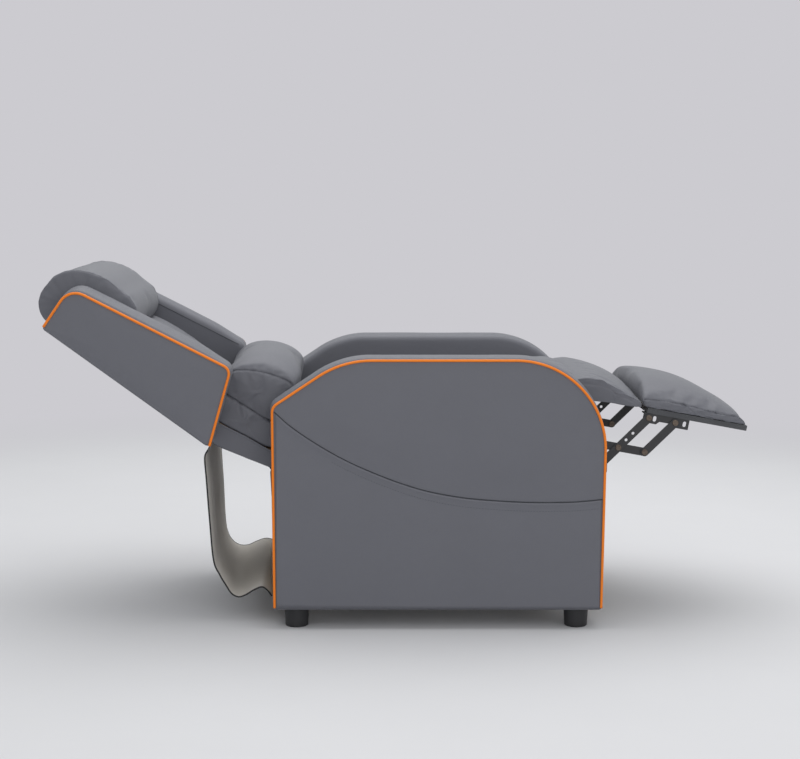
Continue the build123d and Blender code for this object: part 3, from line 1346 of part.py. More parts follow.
with BuildPart() as footrest_board:
    with BuildSketch(BOARD_PLANE.offset(BOARD_UNDERSIDE)):
        with Locations((BOARD_START, 0)):
            Rectangle(BOARD_LENGTH, 2 * BOARD_HALF_WIDTH, align=(Align.MIN, Align.CENTER))
    extrude(amount=BOARD_THICKNESS)
    with BuildSketch(BOARD_PLANE.offset(BOARD_UNDERSIDE)):
        with Locations(*SCREWS):
            Circle(SCREW_RADIUS)
    extrude(amount=SCREW_DEPTH, mode=Mode.SUBTRACT)

with BuildPart() as bracket_screws:
    with BuildSketch(BOARD_PLANE.offset(BOARD_UNDERSIDE - STEEL)):
        with Locations(*SCREWS):
            Circle(SCREW_RADIUS)
    extrude(amount=STEEL + SCREW_DEPTH)
    with BuildSketch(BOARD_PLANE.offset(BOARD_UNDERSIDE - STEEL)):
        with Locations(*SCREWS):
            Circle(SCREW_HEAD_RADIUS)
    extrude(amount=-SCREW_HEAD)

FOOTREST_CENTRE_SHARES = [
    [(0.004, 0.0)], [(-0.004, 0.139)], [(0.104, 0.875), (0.278, 1.0)],
    [(0.519, 0.931), (0.747, 0.639)], [(0.913, 0.375), (1.0, 0.0)],
]
FOOTREST_SIDE_SHARES = [
    [(0.004, 0.0)], [(-0.004, 0.07)], [(0.187, 0.222), (0.373, 0.264)],
    [(0.602, 0.25), (0.809, 0.215)], [(0.954, 0.139), (1.0, 0.0)],
]

with BuildPart() as footrest_pad:
    for place, fullness in WIDTH_SHARES:
        moves = placed(
            mixed(FOOTREST_SIDE_SHARES, FOOTREST_CENTRE_SHARES, fullness),
            FOOTREST_PAD_START, BOARD_UNDERSIDE + BOARD_THICKNESS,
            FOOTREST_PAD_LENGTH, FOOTREST_PAD_HEIGHT,
        )
        with BuildSketch(FOOTREST_PLANE.offset(-place * FOOTREST_HALF_WIDTH)):
            with BuildLine():
                draw(moves[0][0], *moves[1:])
            make_face()
    loft(ruled=True)

# Hanging sheets

with BuildPart() as rear_flap:
    flap_line = FRAME_REAR - BACK_PANEL - FLAP_THICKNESS / 2
    with BuildSketch(side_plane(-FLAP_HALF_WIDTH)):
        with BuildLine():
            thick_path(
                [
                    back_point(FLAP_TOP, flap_line),
                    back_point(FLAP_SEAM, flap_line),
                    *FLAP_PATH,
                    (ARM_REAR - FLAP_THICKNESS / 2, FLAP_END_Z),
                ],
                FLAP_RADII,
                FLAP_THICKNESS,
            )
        make_face()
    extrude(amount=2 * FLAP_HALF_WIDTH)

with BuildPart() as seat_apron:
    with BuildSketch(side_plane(-APRON_HALF_WIDTH)):
        with BuildLine():
            thick_path(
                [
                    (SEAT_REAR - APRON_THICKNESS / 2, APRON_TOP),
                    *APRON_PATH,
                    back_point(PAD_START - APRON_THICKNESS / 2, APRON_REAR),
                    back_point(PAD_START - APRON_THICKNESS / 2, APRON_FRONT),
                ],
                APRON_RADII,
                APRON_THICKNESS,
            )
        make_face()
    extrude(amount=2 * APRON_HALF_WIDTH)

# Finished pieces

PIECES = {
    "feet": feet,
    "foot_studs": foot_studs,
    "arm_core_near": arm_core_drilled,
    "arm_core_far": arm_core_far,
    "arm_near": arm_near,
    "arm_far": arm_far,
    "arm_piping_near": arm_piping_near,
    "arm_piping_far": arm_piping_far,
    "side_panel_near": side_panel_near,
    "side_panel_far": side_panel_far,
    "front_rail": front_rail,
    "rear_rail": rear_rail,
    "base_plates": base_plates,
    "base_bolts": base_bolts,
    "front_cross_tube": front_cross_tube,
    "rear_cross_tube": rear_cross_tube,
    "base_pivot_pins": base_pivot_pins,
    "back_frame": back_frame,
    "back_webbing": back_webbing,
    "back_panel": back_panel,
    "wing_boards": wing_boards,
    "back_brackets": back_brackets,
    "back_bolts": back_bolts,
    "seat_rear_pins": seat_rear_pins,
    "wing_near": wing_near,
    "wing_far": wing_far,
    "wing_piping_near": wing_piping_near,
    "wing_piping_far": wing_piping_far,
    "lumbar_cushion": lumbar_cushion,
    "head_pillow": head_pillow,
    "back_pad": back_pad,
    "lower_back_pad": lower_back_pad,
    "swing_links": swing_links,
    "swing_pins": swing_pins,
    "seat_frame": seat_frame,
    "seat_springs": seat_springs,
    "seat_cushion": seat_cushion,
    "seat_plates": seat_plates,
    "seat_bolts": seat_bolts,
    "cam_plates": cam_plates,
    "cam_studs": cam_studs,
    "bridge_pad": bridge_pad,
    "drive_tube": drive_tube,
    "drive_pivots": drive_pivots,
    "drive_links": drive_links,
    "cross_links": cross_links,
    "crossing_rivets": crossing_rivets,
    "cam_pins": cam_pins,
    "cam_rollers": cam_rollers,
    "lower_links": lower_links,
    "elbow_rivets": elbow_rivets,
    "footrest_brackets": footrest_brackets,
    "bracket_rivets": bracket_rivets,
    "footrest_board": footrest_board,
    "bracket_screws": bracket_screws,
    "footrest_pad": footrest_pad,
    "rear_flap": rear_flap,
    "seat_apron": seat_apron,
}
for piece_name, piece in PIECES.items():
    piece.part.label = piece_name
    export_step(piece.part, f"parts/{piece_name}.step")
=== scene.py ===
"""Push-back recliner armchair, dressed in leather, cord, steel and cloth over its frame."""

import json
import logging
import math
from collections.abc import Callable, Sequence
from dataclasses import dataclass, field
from enum import Enum
from typing import ClassVar

import bpy
import numpy as np
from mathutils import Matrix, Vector, noise
from mathutils.bvhtree import BVHTree
from mathutils.kdtree import KDTree

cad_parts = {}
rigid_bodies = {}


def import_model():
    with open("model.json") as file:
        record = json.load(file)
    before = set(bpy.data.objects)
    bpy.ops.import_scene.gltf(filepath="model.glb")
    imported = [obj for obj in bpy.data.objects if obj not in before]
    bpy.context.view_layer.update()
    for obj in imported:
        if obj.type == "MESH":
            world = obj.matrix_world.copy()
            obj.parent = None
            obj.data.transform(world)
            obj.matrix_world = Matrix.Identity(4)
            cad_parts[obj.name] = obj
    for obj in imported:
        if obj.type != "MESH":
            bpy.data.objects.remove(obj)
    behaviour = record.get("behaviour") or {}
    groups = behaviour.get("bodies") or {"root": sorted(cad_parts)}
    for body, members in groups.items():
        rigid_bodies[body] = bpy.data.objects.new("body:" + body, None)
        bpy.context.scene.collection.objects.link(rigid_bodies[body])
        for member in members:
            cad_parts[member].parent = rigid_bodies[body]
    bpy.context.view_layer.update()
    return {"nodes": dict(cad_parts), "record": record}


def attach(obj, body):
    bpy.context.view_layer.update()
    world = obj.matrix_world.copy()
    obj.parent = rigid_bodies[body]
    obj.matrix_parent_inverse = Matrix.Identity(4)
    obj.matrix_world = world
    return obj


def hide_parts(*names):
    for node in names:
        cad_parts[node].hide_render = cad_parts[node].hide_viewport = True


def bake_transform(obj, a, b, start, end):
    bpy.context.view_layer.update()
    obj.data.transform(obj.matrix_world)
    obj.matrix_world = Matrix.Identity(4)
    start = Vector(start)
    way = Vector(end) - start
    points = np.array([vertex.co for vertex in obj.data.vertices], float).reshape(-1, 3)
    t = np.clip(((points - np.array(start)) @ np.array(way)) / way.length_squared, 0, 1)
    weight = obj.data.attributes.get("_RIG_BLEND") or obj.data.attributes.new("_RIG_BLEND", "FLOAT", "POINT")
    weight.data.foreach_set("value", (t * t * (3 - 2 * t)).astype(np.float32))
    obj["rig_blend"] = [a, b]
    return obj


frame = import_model()

LOG = logging.getLogger("recliner")
MM = 0.001

Point = tuple[float, float]
Colour = tuple[float, float, float]
Move = Sequence[Point]


# Places in the side view

@dataclass(frozen=True)
class SidePlane:
    """Side view plane in millimetres, with its own two directions."""

    origin: Point
    along: Point
    out: Point

    def place(self, flat: np.ndarray, across: float | np.ndarray) -> np.ndarray:
        """Turns flat places into space.

        Args:
            flat: Places in this plane, in millimetres, one row each.
            across: Sideways place or places, in millimetres.

        Returns:
            Places in metres, one row each.
        """
        flat = np.asarray(flat, float)
        x = self.origin[0] + flat[:, 0] * self.along[0] + flat[:, 1] * self.out[0]
        z = self.origin[1] + flat[:, 0] * self.along[1] + flat[:, 1] * self.out[1]
        y = np.broadcast_to(np.asarray(across, float), x.shape)
        return np.stack([x, y, z], axis=1) * MM


def tilted(origin: Point, degrees: float) -> SidePlane:
    """Side plane whose first direction stands at an angle from +X towards +Z."""
    turn = math.radians(degrees)
    return SidePlane(origin, (math.cos(turn), math.sin(turn)), (-math.sin(turn), math.cos(turn)))


GROUND = tilted((0.0, 0.0), 0.0)
BACK_LEAN = math.radians(54.0)
BACK = SidePlane(
    (-228.0, 291.0),
    (-math.sin(BACK_LEAN), math.cos(BACK_LEAN)),
    (math.cos(BACK_LEAN), math.sin(BACK_LEAN)),
)
FOOTREST = tilted((582.5, 473.1), -10.4)
NOSE: Point = (465.0, 535.0)


def around_nose(degrees: float, radius: float = 27.0) -> Point:
    """Point about the hinge at the front of the seat."""
    turn = math.radians(degrees)
    return NOSE[0] + radius * math.cos(turn), NOSE[1] + radius * math.sin(turn)


def arc_points(start: Point, middle: Point, end: Point, count: int) -> list[Point]:
    """Points on the arc through three places.

    Args:
        start: Place the arc leaves, not returned.
        middle: Place the arc passes.
        end: Place the arc reaches, returned last.
        count: How many points to return.

    Returns:
        The points in order.
    """
    a, b, c = (np.array(p, float) for p in (start, middle, end))
    u, v = b - a, c - a
    cross = u[0] * v[1] - u[1] * v[0]
    if abs(cross) < 1e-6:
        return [tuple(a + (c - a) * (i + 1) / count) for i in range(count)]
    uu, vv = u @ u, v @ v
    centre = a + np.array([v[1] * uu - u[1] * vv, u[0] * vv - v[0] * uu]) / (2 * cross)
    radius = math.hypot(*(a - centre))
    first, mid, last = (math.atan2(p[1] - centre[1], p[0] - centre[0]) for p in (a, b, c))
    sweep = (last - first) % math.tau
    if (mid - first) % math.tau > sweep:
        sweep -= math.tau
    turns = [first + sweep * (i + 1) / count for i in range(count)]
    return [(centre[0] + radius * math.cos(t), centre[1] + radius * math.sin(t)) for t in turns]


def rounded(corners: Sequence[Point], radii: Sequence[float], closed: bool) -> list[Point]:
    """Outline with an arc at each corner.

    Args:
        corners: Corners in order.
        radii: One radius for each corner that is rounded: all of them on a
            closed outline, the inner ones on an open one.
        closed: Whether the last corner joins the first.

    Returns:
        Points along the outline, with few on straight runs.
    """
    count = len(corners)
    points: list[Point] = [] if closed else [corners[0]]
    turns = range(count) if closed else range(1, count - 1)
    for radius, i in zip(radii, turns):
        here = np.array(corners[i], float)
        back = np.array(corners[i - 1], float) - here
        ahead = np.array(corners[(i + 1) % count], float) - here
        back /= math.hypot(*back)
        ahead /= math.hypot(*ahead)
        half = math.acos(max(-1.0, min(1.0, float(back @ ahead)))) / 2
        reach = radius / math.tan(half)
        middle = (back + ahead) / math.hypot(*(back + ahead))
        centre = here + middle * radius / math.sin(half)
        start = here + back * reach
        points.append(tuple(start))
        steps = max(4, int(radius * (math.pi - 2 * half) / 5))
        points += arc_points(
            tuple(start), tuple(centre - middle * radius), tuple(here + ahead * reach), steps
        )
    if not closed:
        points.append(corners[-1])
    return points


def paced(points: Sequence[Sequence[float]], count: int, closed: bool) -> np.ndarray:
    """Places spaced evenly along a run of points.

    Args:
        points: The run, in two or three directions.
        count: How many places to return.
        closed: Whether the run joins its own start.

    Returns:
        One row for each place.
    """
    run = np.asarray(points, float)
    if closed:
        run = np.vstack([run, run[:1]])
    steps = np.linalg.norm(np.diff(run, axis=0), axis=1)
    gone = np.concatenate([[0.0], np.cumsum(steps)])
    wanted = np.linspace(0.0, gone[-1], count, endpoint=not closed)
    return np.stack([np.interp(wanted, gone, run[:, i]) for i in range(run.shape[1])], axis=1)


def run_length(points: Sequence[Sequence[float]]) -> float:
    """Length of a run of points."""
    return float(np.linalg.norm(np.diff(np.asarray(points, float), axis=0), axis=1).sum())


def eased(ring: np.ndarray, passes: int) -> np.ndarray:
    """Softens the corners of a closed ring."""
    for _ in range(passes):
        ring = ring * 0.5 + (np.roll(ring, 1, axis=0) + np.roll(ring, -1, axis=0)) * 0.25
    return ring


def facing(ring: np.ndarray) -> np.ndarray:
    """Unit directions that point out of a closed flat ring."""
    ahead = np.roll(ring, -1, axis=0) - np.roll(ring, 1, axis=0)
    out = np.stack([ahead[:, 1], -ahead[:, 0]], axis=1)
    out /= np.linalg.norm(out, axis=1)[:, None] + 1e-12
    x, z = ring[:, 0], ring[:, 1]
    area = (x * np.roll(z, -1) - np.roll(x, -1) * z).sum()
    return out if area > 0 else -out


def smooth(values: np.ndarray | float, low: float, high: float) -> np.ndarray:
    """Rises from 0 at low to 1 at high with no corners."""
    share = np.clip((np.asarray(values, float) - low) / (high - low), 0.0, 1.0)
    return share * share * (3 - 2 * share)


def wander(places: np.ndarray, size: float, seed: float) -> np.ndarray:
    """Slow variation from -1 to 1.

    Args:
        places: Places in metres, one row each.
        size: Distance over which it varies, in metres.
        seed: Picks one of many fields.

    Returns:
        One value for each place.
    """
    shift = Vector((seed * 3.1, seed * 1.7, seed * 2.3))
    return np.array([noise.noise(Vector(p) / size + shift) for p in places])


# Meshes

def made(name: str, places: np.ndarray, faces: Sequence[Sequence[int]]) -> bpy.types.Object:
    """Smooth object from places in metres and faces."""
    mesh = bpy.data.meshes.new(name)
    mesh.from_pydata([tuple(p) for p in places], [], [tuple(f) for f in faces])
    mesh.polygons.foreach_set("use_smooth", [True] * len(mesh.polygons))
    mesh.update()
    piece = bpy.data.objects.new(name, mesh)
    bpy.context.scene.collection.objects.link(piece)
    return piece


def netted(name: str, grid: np.ndarray) -> bpy.types.Object:
    """Open sheet from a grid of places in metres."""
    columns, rows = grid.shape[:2]
    corners = [i * rows + j for i in range(columns - 1) for j in range(rows - 1)]
    return made(name, grid.reshape(-1, 3), [(a, a + rows, a + rows + 1, a + 1) for a in corners])


def thickened(piece: bpy.types.Object, thickness: float) -> bpy.types.Modifier:
    """Gives an open sheet a thickness in millimetres, half of it on each side."""
    thick = piece.modifiers.new("thick", "SOLIDIFY")
    thick.thickness = thickness * MM
    thick.offset = 0.0
    return thick


def band(a: int, b: int, size: int) -> list[tuple[int, ...]]:
    """Faces between two rings of places, given the first place of each."""
    return [(a + j, b + j, b + (j + 1) % size, a + (j + 1) % size) for j in range(size)]


def skinned(name: str, rings: Sequence[np.ndarray]) -> bpy.types.Object:
    """Closed object whose skin runs from ring to ring, with each end ring filled.

    Args:
        name: Name of the piece.
        rings: Rings of the same number of places in metres.

    Returns:
        The object, with faces that point outwards.
    """
    size = len(rings[0])
    places = np.vstack(list(rings))
    faces: list[tuple[int, ...]] = []
    for i in range(len(rings) - 1):
        a, b = i * size, (i + 1) * size
        faces += [(a + j, a + (j + 1) % size, b + (j + 1) % size, b + j) for j in range(size)]
    top = (len(rings) - 1) * size
    for j in range((size - 1) // 2):
        across = [j, j + 1, size - 2 - j, size - 1 - j]
        if across[1] == across[2]:
            across.pop(2)
        faces.append(tuple(reversed(across)))
        faces.append(tuple(top + k for k in across))
    piece = made(name, places, faces)
    turn_out(piece)
    return piece


def turn_out(piece: bpy.types.Object) -> None:
    """Turns every face of a closed piece outwards when its volume reads negative."""
    places = positions(piece)
    volume = 0.0
    for face in piece.data.polygons:
        corners = places[list(face.vertices)]
        for k in range(1, len(corners) - 1):
            volume += float(np.dot(corners[0], np.cross(corners[k], corners[k + 1])))
    if volume < 0:
        piece.data.flip_normals()


def positions(piece: bpy.types.Object) -> np.ndarray:
    """Places of a piece's vertices, in metres."""
    values = np.zeros(len(piece.data.vertices) * 3)
    piece.data.vertices.foreach_get("co", values)
    return values.reshape(-1, 3)


def normals(piece: bpy.types.Object) -> np.ndarray:
    """Unit directions that point out of a piece at its vertices."""
    values = np.zeros(len(piece.data.vertices) * 3)
    piece.data.vertices.foreach_get("normal", values)
    return values.reshape(-1, 3)


def put(piece: bpy.types.Object, places: np.ndarray) -> None:
    """Moves a piece's vertices."""
    piece.data.vertices.foreach_set("co", np.asarray(places, float).ravel())
    piece.data.update()


def baked(piece: bpy.types.Object) -> None:
    """Applies a piece's modifiers to its mesh."""
    bpy.context.view_layer.update()
    shown = piece.evaluated_get(bpy.context.evaluated_depsgraph_get())
    mesh = bpy.data.meshes.new_from_object(shown)
    piece.modifiers.clear()
    old, piece.data = piece.data, mesh
    bpy.data.meshes.remove(old)
    mesh.polygons.foreach_set("use_smooth", [True] * len(mesh.polygons))


def divided(piece: bpy.types.Object) -> None:
    """Divides a piece's faces once, with rounding."""
    step = piece.modifiers.new("divide", "SUBSURF")
    step.levels = step.render_levels = 1
    baked(piece)


def joined(name: str, pieces: Sequence[bpy.types.Object]) -> bpy.types.Object:
    """One object from several that share a finish."""
    places: list[np.ndarray] = []
    faces: list[tuple[int, ...]] = []
    start = 0
    for piece in pieces:
        places.append(positions(piece))
        faces += [tuple(start + v for v in face.vertices) for face in piece.data.polygons]
        start += len(piece.data.vertices)
        mesh = piece.data
        bpy.data.objects.remove(piece)
        bpy.data.meshes.remove(mesh)
    return made(name, np.vstack(places), faces)


def tube(
    name: str, path: np.ndarray, radii: np.ndarray | float, sides: int = 12
) -> bpy.types.Object:
    """Round cord along a path.

    Args:
        name: Name of the piece.
        path: Places in metres.
        radii: Radius in metres, for the whole or for each place.
        sides: Number of flats round it.

    Returns:
        The object.
    """
    path = np.asarray(path, float)
    radii = np.broadcast_to(np.asarray(radii, float), (len(path),))
    ahead = np.gradient(path, axis=0)
    ahead /= np.linalg.norm(ahead, axis=1)[:, None] + 1e-12
    side = np.cross(ahead[0], (0.0, 0.0, 1.0))
    if np.linalg.norm(side) < 0.1:
        side = np.cross(ahead[0], (0.0, 1.0, 0.0))
    rings = []
    turns = np.linspace(0, math.tau, sides, endpoint=False)
    for place, direction, radius in zip(path, ahead, radii):
        side = side - direction * (side @ direction)
        side /= np.linalg.norm(side)
        up = np.cross(direction, side)
        rings.append(
            place + radius * (np.cos(turns)[:, None] * side + np.sin(turns)[:, None] * up)
        )
    return skinned(name, rings)


def inflated(
    piece: bpy.types.Object, held: np.ndarray, pressure: float, shrink: float, cap: float
) -> None:
    """Fills a cover with air as a cloth, then keeps the shape.

    Args:
        piece: Closed cover.
        held: How firmly each vertex is held, from 0 to 1.
        pressure: Pressure inside.
        shrink: Share by which the cover shrinks, negative where it is roomy.
        cap: The furthest that a point may move, in millimetres.
    """
    before = positions(piece)
    group = piece.vertex_groups.new(name="held")
    for i, weight in enumerate(held):
        if weight > 0:
            group.add([i], float(weight), "REPLACE")
    cloth = piece.modifiers.new("cloth", "CLOTH")
    settings = cloth.settings
    settings.quality = 6
    settings.mass = 0.4
    settings.tension_stiffness = settings.compression_stiffness = 25.0
    settings.shear_stiffness = 12.0
    settings.bending_stiffness = 1.2
    settings.use_pressure = True
    settings.uniform_pressure_force = pressure
    settings.shrink_min = shrink
    settings.vertex_group_mass = "held"
    settings.effector_weights.gravity = 0.0
    cloth.collision_settings.use_collision = False
    cloth.collision_settings.use_self_collision = False
    frames = 20
    cloth.point_cache.frame_start = 1
    cloth.point_cache.frame_end = frames
    for step in range(1, frames + 1):
        bpy.context.scene.frame_set(step)
    shown = piece.evaluated_get(bpy.context.evaluated_depsgraph_get())
    after = np.zeros(len(shown.data.vertices) * 3)
    shown.data.vertices.foreach_get("co", after)
    moved = after.reshape(-1, 3) - before
    reach = np.linalg.norm(moved, axis=1)[:, None] + 1e-12
    limit = cap * MM
    moved *= np.minimum(1.0, limit * np.tanh(reach / limit) / reach)
    piece.modifiers.clear()
    piece.vertex_groups.clear()
    bpy.context.scene.frame_set(1)
    put(piece, before + moved)


def creased(
    piece: bpy.types.Object,
    path: np.ndarray,
    depth: float,
    width: float,
    pucker: float = 0.0,
    reach: float = 22.0,
    pitch: float = 24.0,
    seed: float = 1.0,
) -> None:
    """Presses a seam into a piece, with short gathers that run away from it.

    Args:
        piece: The piece, divided finely enough.
        path: Places along the seam, in metres.
        depth: Depth of the seam, in millimetres.
        width: Half width of the seam, in millimetres.
        pucker: Height of the gathers, in millimetres.
        reach: How far the gathers run, in millimetres.
        pitch: Distance from one gather to the next, in millimetres.
        seed: Picks the pattern of the gathers.
    """
    count = max(8, int(run_length(path) / (2 * MM)))
    seam = paced(path, count, False)
    tree = KDTree(count)
    for i, place in enumerate(seam):
        tree.insert(place, i)
    tree.balance()
    places, out = positions(piece), normals(piece)
    step = run_length(seam) / count / MM
    shift = np.zeros(len(places))
    limit = max(width * 3, reach * 2.5 if pucker else 0.0) * MM
    low, high = seam.min(axis=0) - limit, seam.max(axis=0) + limit
    near = np.where(np.all((places > low) & (places < high), axis=1))[0]
    for i in near:
        _, k, distance = tree.find(places[i])
        away = distance / MM
        shift[i] -= depth * math.exp(-((away / width) ** 2))
        if pucker:
            along = k * step
            jitter = noise.noise(Vector((along / 60.0, seed * 7.3, 0.0)))
            size = 0.35 + 0.65 * abs(noise.noise(Vector((along / 45.0, seed * 3.1, 5.0))) * 2)
            wave = math.cos(math.tau * (along / pitch + jitter * 1.6))
            fade = math.exp(-away / reach) * (1 - math.exp(-away / (width * 0.8)))
            shift[i] += pucker * size * wave * fade
    put(piece, places + out * (shift * MM)[:, None])


def stitched(
    name: str,
    piece: bpy.types.Object,
    path: np.ndarray,
    pitch: float = 6.5,
    gap: float = 2.3,
    radius: float = 0.42,
) -> bpy.types.Object:
    """Row of thread stitches laid on a piece.

    Args:
        name: Name of the row.
        piece: Piece that carries the thread.
        path: Places along the row, in metres.
        pitch: Distance from one stitch to the next, in millimetres.
        gap: Bare length between stitches, in millimetres.
        radius: Radius of the thread, in millimetres.

    Returns:
        All the stitches as one object.
    """
    tree = BVHTree.FromObject(piece, bpy.context.evaluated_depsgraph_get())
    length = run_length(path) / MM
    count = max(2, int(length / pitch))
    steps, sides = 8, 6
    ends = paced(path, count * steps + 1, False)
    share = max(2, int(round(steps * (pitch - gap) / pitch)))
    places: list[np.ndarray] = []
    faces: list[tuple[int, ...]] = []
    for i in range(count):
        part = ends[i * steps: i * steps + share + 1]
        laid = []
        for k, place in enumerate(part):
            spot, out, _, _ = tree.find_nearest(Vector(place))
            arch = math.sin(math.pi * k / share)
            laid.append(np.array(spot) + np.array(out) * radius * MM * (0.5 * arch - 0.25))
        run = np.array(laid)
        if run_length(run) < 1e-5:
            continue
        ahead = run[-1] - run[0]
        ahead /= np.linalg.norm(ahead) + 1e-12
        up = np.array(out)
        side = np.cross(ahead, up)
        side /= np.linalg.norm(side) + 1e-12
        start = sum(len(block) for block in places)
        rows = []
        for k, spot in enumerate(run):
            thick = radius * MM * (0.55 if k in (0, len(run) - 1) else 1.0)
            for turn in range(sides):
                angle = math.tau * turn / sides
                rows.append(spot + thick * (math.cos(angle) * side + math.sin(angle) * up))
        places.append(np.array(rows))
        for k in range(len(run) - 1):
            faces += band(start + k * sides, start + (k + 1) * sides, sides)
        faces.append(tuple(start + j for j in range(sides)))
        faces.append(tuple(start + len(run) * sides - 1 - j for j in range(sides)))
    return made(name, np.vstack(places), faces)


# Finishes

def screen(red: int, green: int, blue: int) -> Colour:
    """Linear colour from the three numbers that a screen shows."""
    def linear(value: int) -> float:
        """Share of full light for one of the numbers."""
        share = value / 255
        return share / 12.92 if share <= 0.04045 else ((share + 0.055) / 1.055) ** 2.4
    return linear(red), linear(green), linear(blue)


class Wire:
    """A number that comes out of a node, on which sums add more nodes."""

    def __init__(self, bench: "Bench", socket: bpy.types.NodeSocket) -> None:
        """Keeps the bench that it belongs to and its socket."""
        self.bench = bench
        self.socket = socket

    def __add__(self, other: "Wire | float") -> "Wire":
        """Adds."""
        return self.bench.sum("ADD", self, other)

    def __radd__(self, other: float) -> "Wire":
        """Adds to a number on its left."""
        return self.bench.sum("ADD", other, self)

    def __sub__(self, other: "Wire | float") -> "Wire":
        """Takes away."""
        return self.bench.sum("SUBTRACT", self, other)

    def __rsub__(self, other: float) -> "Wire":
        """Takes itself from a number on its left."""
        return self.bench.sum("SUBTRACT", other, self)

    def __mul__(self, other: "Wire | float") -> "Wire":
        """Multiplies."""
        return self.bench.sum("MULTIPLY", self, other)

    def __rmul__(self, other: float) -> "Wire":
        """Multiplies a number on its left."""
        return self.bench.sum("MULTIPLY", other, self)

    def step(self, low: float, high: float) -> "Wire":
        """Rises smoothly from 0 at low to 1 at high."""
        node = self.bench.add(
            "ShaderNodeMapRange",
            {"interpolation_type": "SMOOTHSTEP"},
            {"Value": self, "From Min": low, "From Max": high},
        )
        return Wire(self.bench, node.outputs["Result"])


class Bench:
    """One material under construction."""

    def __init__(self, name: str) -> None:
        """Starts an empty material."""
        self.material = bpy.data.materials.new(name)
        self.material.use_nodes = True
        self.tree = self.material.node_tree
        self.tree.nodes.clear()

    def add(
        self,
        kind: str,
        settings: dict[str, object] | None = None,
        inputs: dict[str | int, object] | None = None,
    ) -> bpy.types.Node:
        """Adds a node.

        Args:
            kind: The node's type.
            settings: Its own settings, with a ramp's stops under "stops".
            inputs: A value or a wire for each socket that is set.

        Returns:
            The node.
        """
        node = self.tree.nodes.new(kind)
        for name, value in (settings or {}).items():
            if name == "stops":
                ramp = node.color_ramp.elements
                while len(ramp) < len(value):
                    ramp.new(0.5)
                for stop, (place, colour) in zip(ramp, value):
                    stop.position = place
                    stop.color = (*colour, 1.0)
            else:
                setattr(node, name, value)
        for name, value in (inputs or {}).items():
            if isinstance(value, Wire):
                self.tree.links.new(value.socket, node.inputs[name])
            else:
                node.inputs[name].default_value = value
        return node

    def out(
        self,
        kind: str,
        output: str | int,
        settings: dict[str, object] | None = None,
        inputs: dict[str | int, object] | None = None,
    ) -> Wire:
        """Adds a node and takes one of its outputs."""
        return Wire(self, self.add(kind, settings, inputs).outputs[output])

    def sum(self, operation: str, left: "Wire | float", right: "Wire | float") -> Wire:
        """Adds a Math node on two numbers."""
        return self.out("ShaderNodeMath", 0, {"operation": operation}, {0: left, 1: right})

    def place(self, turn: Colour = (0.0, 0.0, 0.0), stretch: Colour = (1.0, 1.0, 1.0)) -> Wire:
        """The place on the piece in metres, turned and stretched."""
        here = self.out("ShaderNodeTexCoord", "Object")
        return self.out(
            "ShaderNodeMapping", 0, {}, {"Vector": here, "Rotation": turn, "Scale": stretch}
        )

    def cloud(self, place: Wire, scale: float, detail: float = 2.0, rough: float = 0.5) -> Wire:
        """Noise from 0 to 1."""
        return self.out(
            "ShaderNodeTexNoise", "Fac", {},
            {"Vector": place, "Scale": scale, "Detail": detail, "Roughness": rough},
        )

    def cells(self, place: Wire, scale: float) -> Wire:
        """Distance to the nearest edge of a field of cells."""
        return self.out(
            "ShaderNodeTexVoronoi", "Distance", {"feature": "DISTANCE_TO_EDGE"},
            {"Vector": place, "Scale": scale},
        )

    def blend(self, share: Wire | float, first: Colour | Wire, second: Colour | Wire) -> Wire:
        """Mixes two colours."""
        def full(colour: Colour | Wire) -> object:
            """Gives a plain colour its fourth number."""
            return colour if isinstance(colour, Wire) else (*colour, 1.0)
        node = self.add(
            "ShaderNodeMix", {"data_type": "RGBA"}, {0: share, 6: full(first), 7: full(second)}
        )
        return Wire(self, node.outputs[2])

    def bump(
        self, height: Wire, strength: float, distance: float, under: Wire | None = None
    ) -> Wire:
        """Turns a height into a normal."""
        inputs: dict[str | int, object] = {
            "Height": height, "Strength": strength, "Distance": distance
        }
        if under is not None:
            inputs["Normal"] = under
        return self.out("ShaderNodeBump", "Normal", {}, inputs)

    def finish(self, inputs: dict[str | int, object]) -> bpy.types.Material:
        """Ends the material with a surface of the given values and wires."""
        surface = self.out("ShaderNodeBsdfPrincipled", "BSDF", {}, inputs)
        self.add("ShaderNodeOutputMaterial", {}, {"Surface": surface})
        return self.material


@dataclass(frozen=True)
class Leather:
    """Coated upholstery leather with a fine pebbled grain."""

    name: str
    colour: Colour
    roughness: float = 0.47
    grain: float = 640.0
    relief: float = 0.16
    shift: float = 0.07

    def make(self) -> bpy.types.Material:
        """Builds the material."""
        bench = Bench(self.name)
        here = bench.place()
        drift = bench.cloud(here, 9.0, 3.0)
        wash = bench.cloud(here, 55.0, 4.0, 0.6)
        pebble = bench.cells(here, self.grain)
        crackle = bench.cells(here, self.grain * 0.37)
        fine = bench.cloud(here, self.grain * 2.2, 2.0)
        valley = 1 - pebble.step(0.0, 0.16)
        tone = (drift - 0.5) * self.shift + (wash - 0.5) * self.shift * 0.9 - valley * 0.05
        dark = tuple(c * 0.8 for c in self.colour)
        light = tuple(min(1.0, c * 1.2) for c in self.colour)
        colour = bench.blend((tone * 2.5 + 0.5), dark, light)
        relief = pebble.step(0.0, 0.22) * 0.7 + crackle.step(0.0, 0.12) * 0.2 + fine * 0.25
        soft = bench.bump(bench.cloud(here, 16.0, 3.0, 0.55), 0.3, 0.0022)
        rough = self.roughness + (wash - 0.5) * 0.1 + valley * 0.12
        return bench.finish({
            "Base Color": colour,
            "Roughness": rough,
            "Normal": bench.bump(relief, self.relief, 0.0006, soft),
            "Specular IOR Level": 0.42,
            "Sheen Weight": 0.06,
            "Sheen Roughness": 0.45,
        })


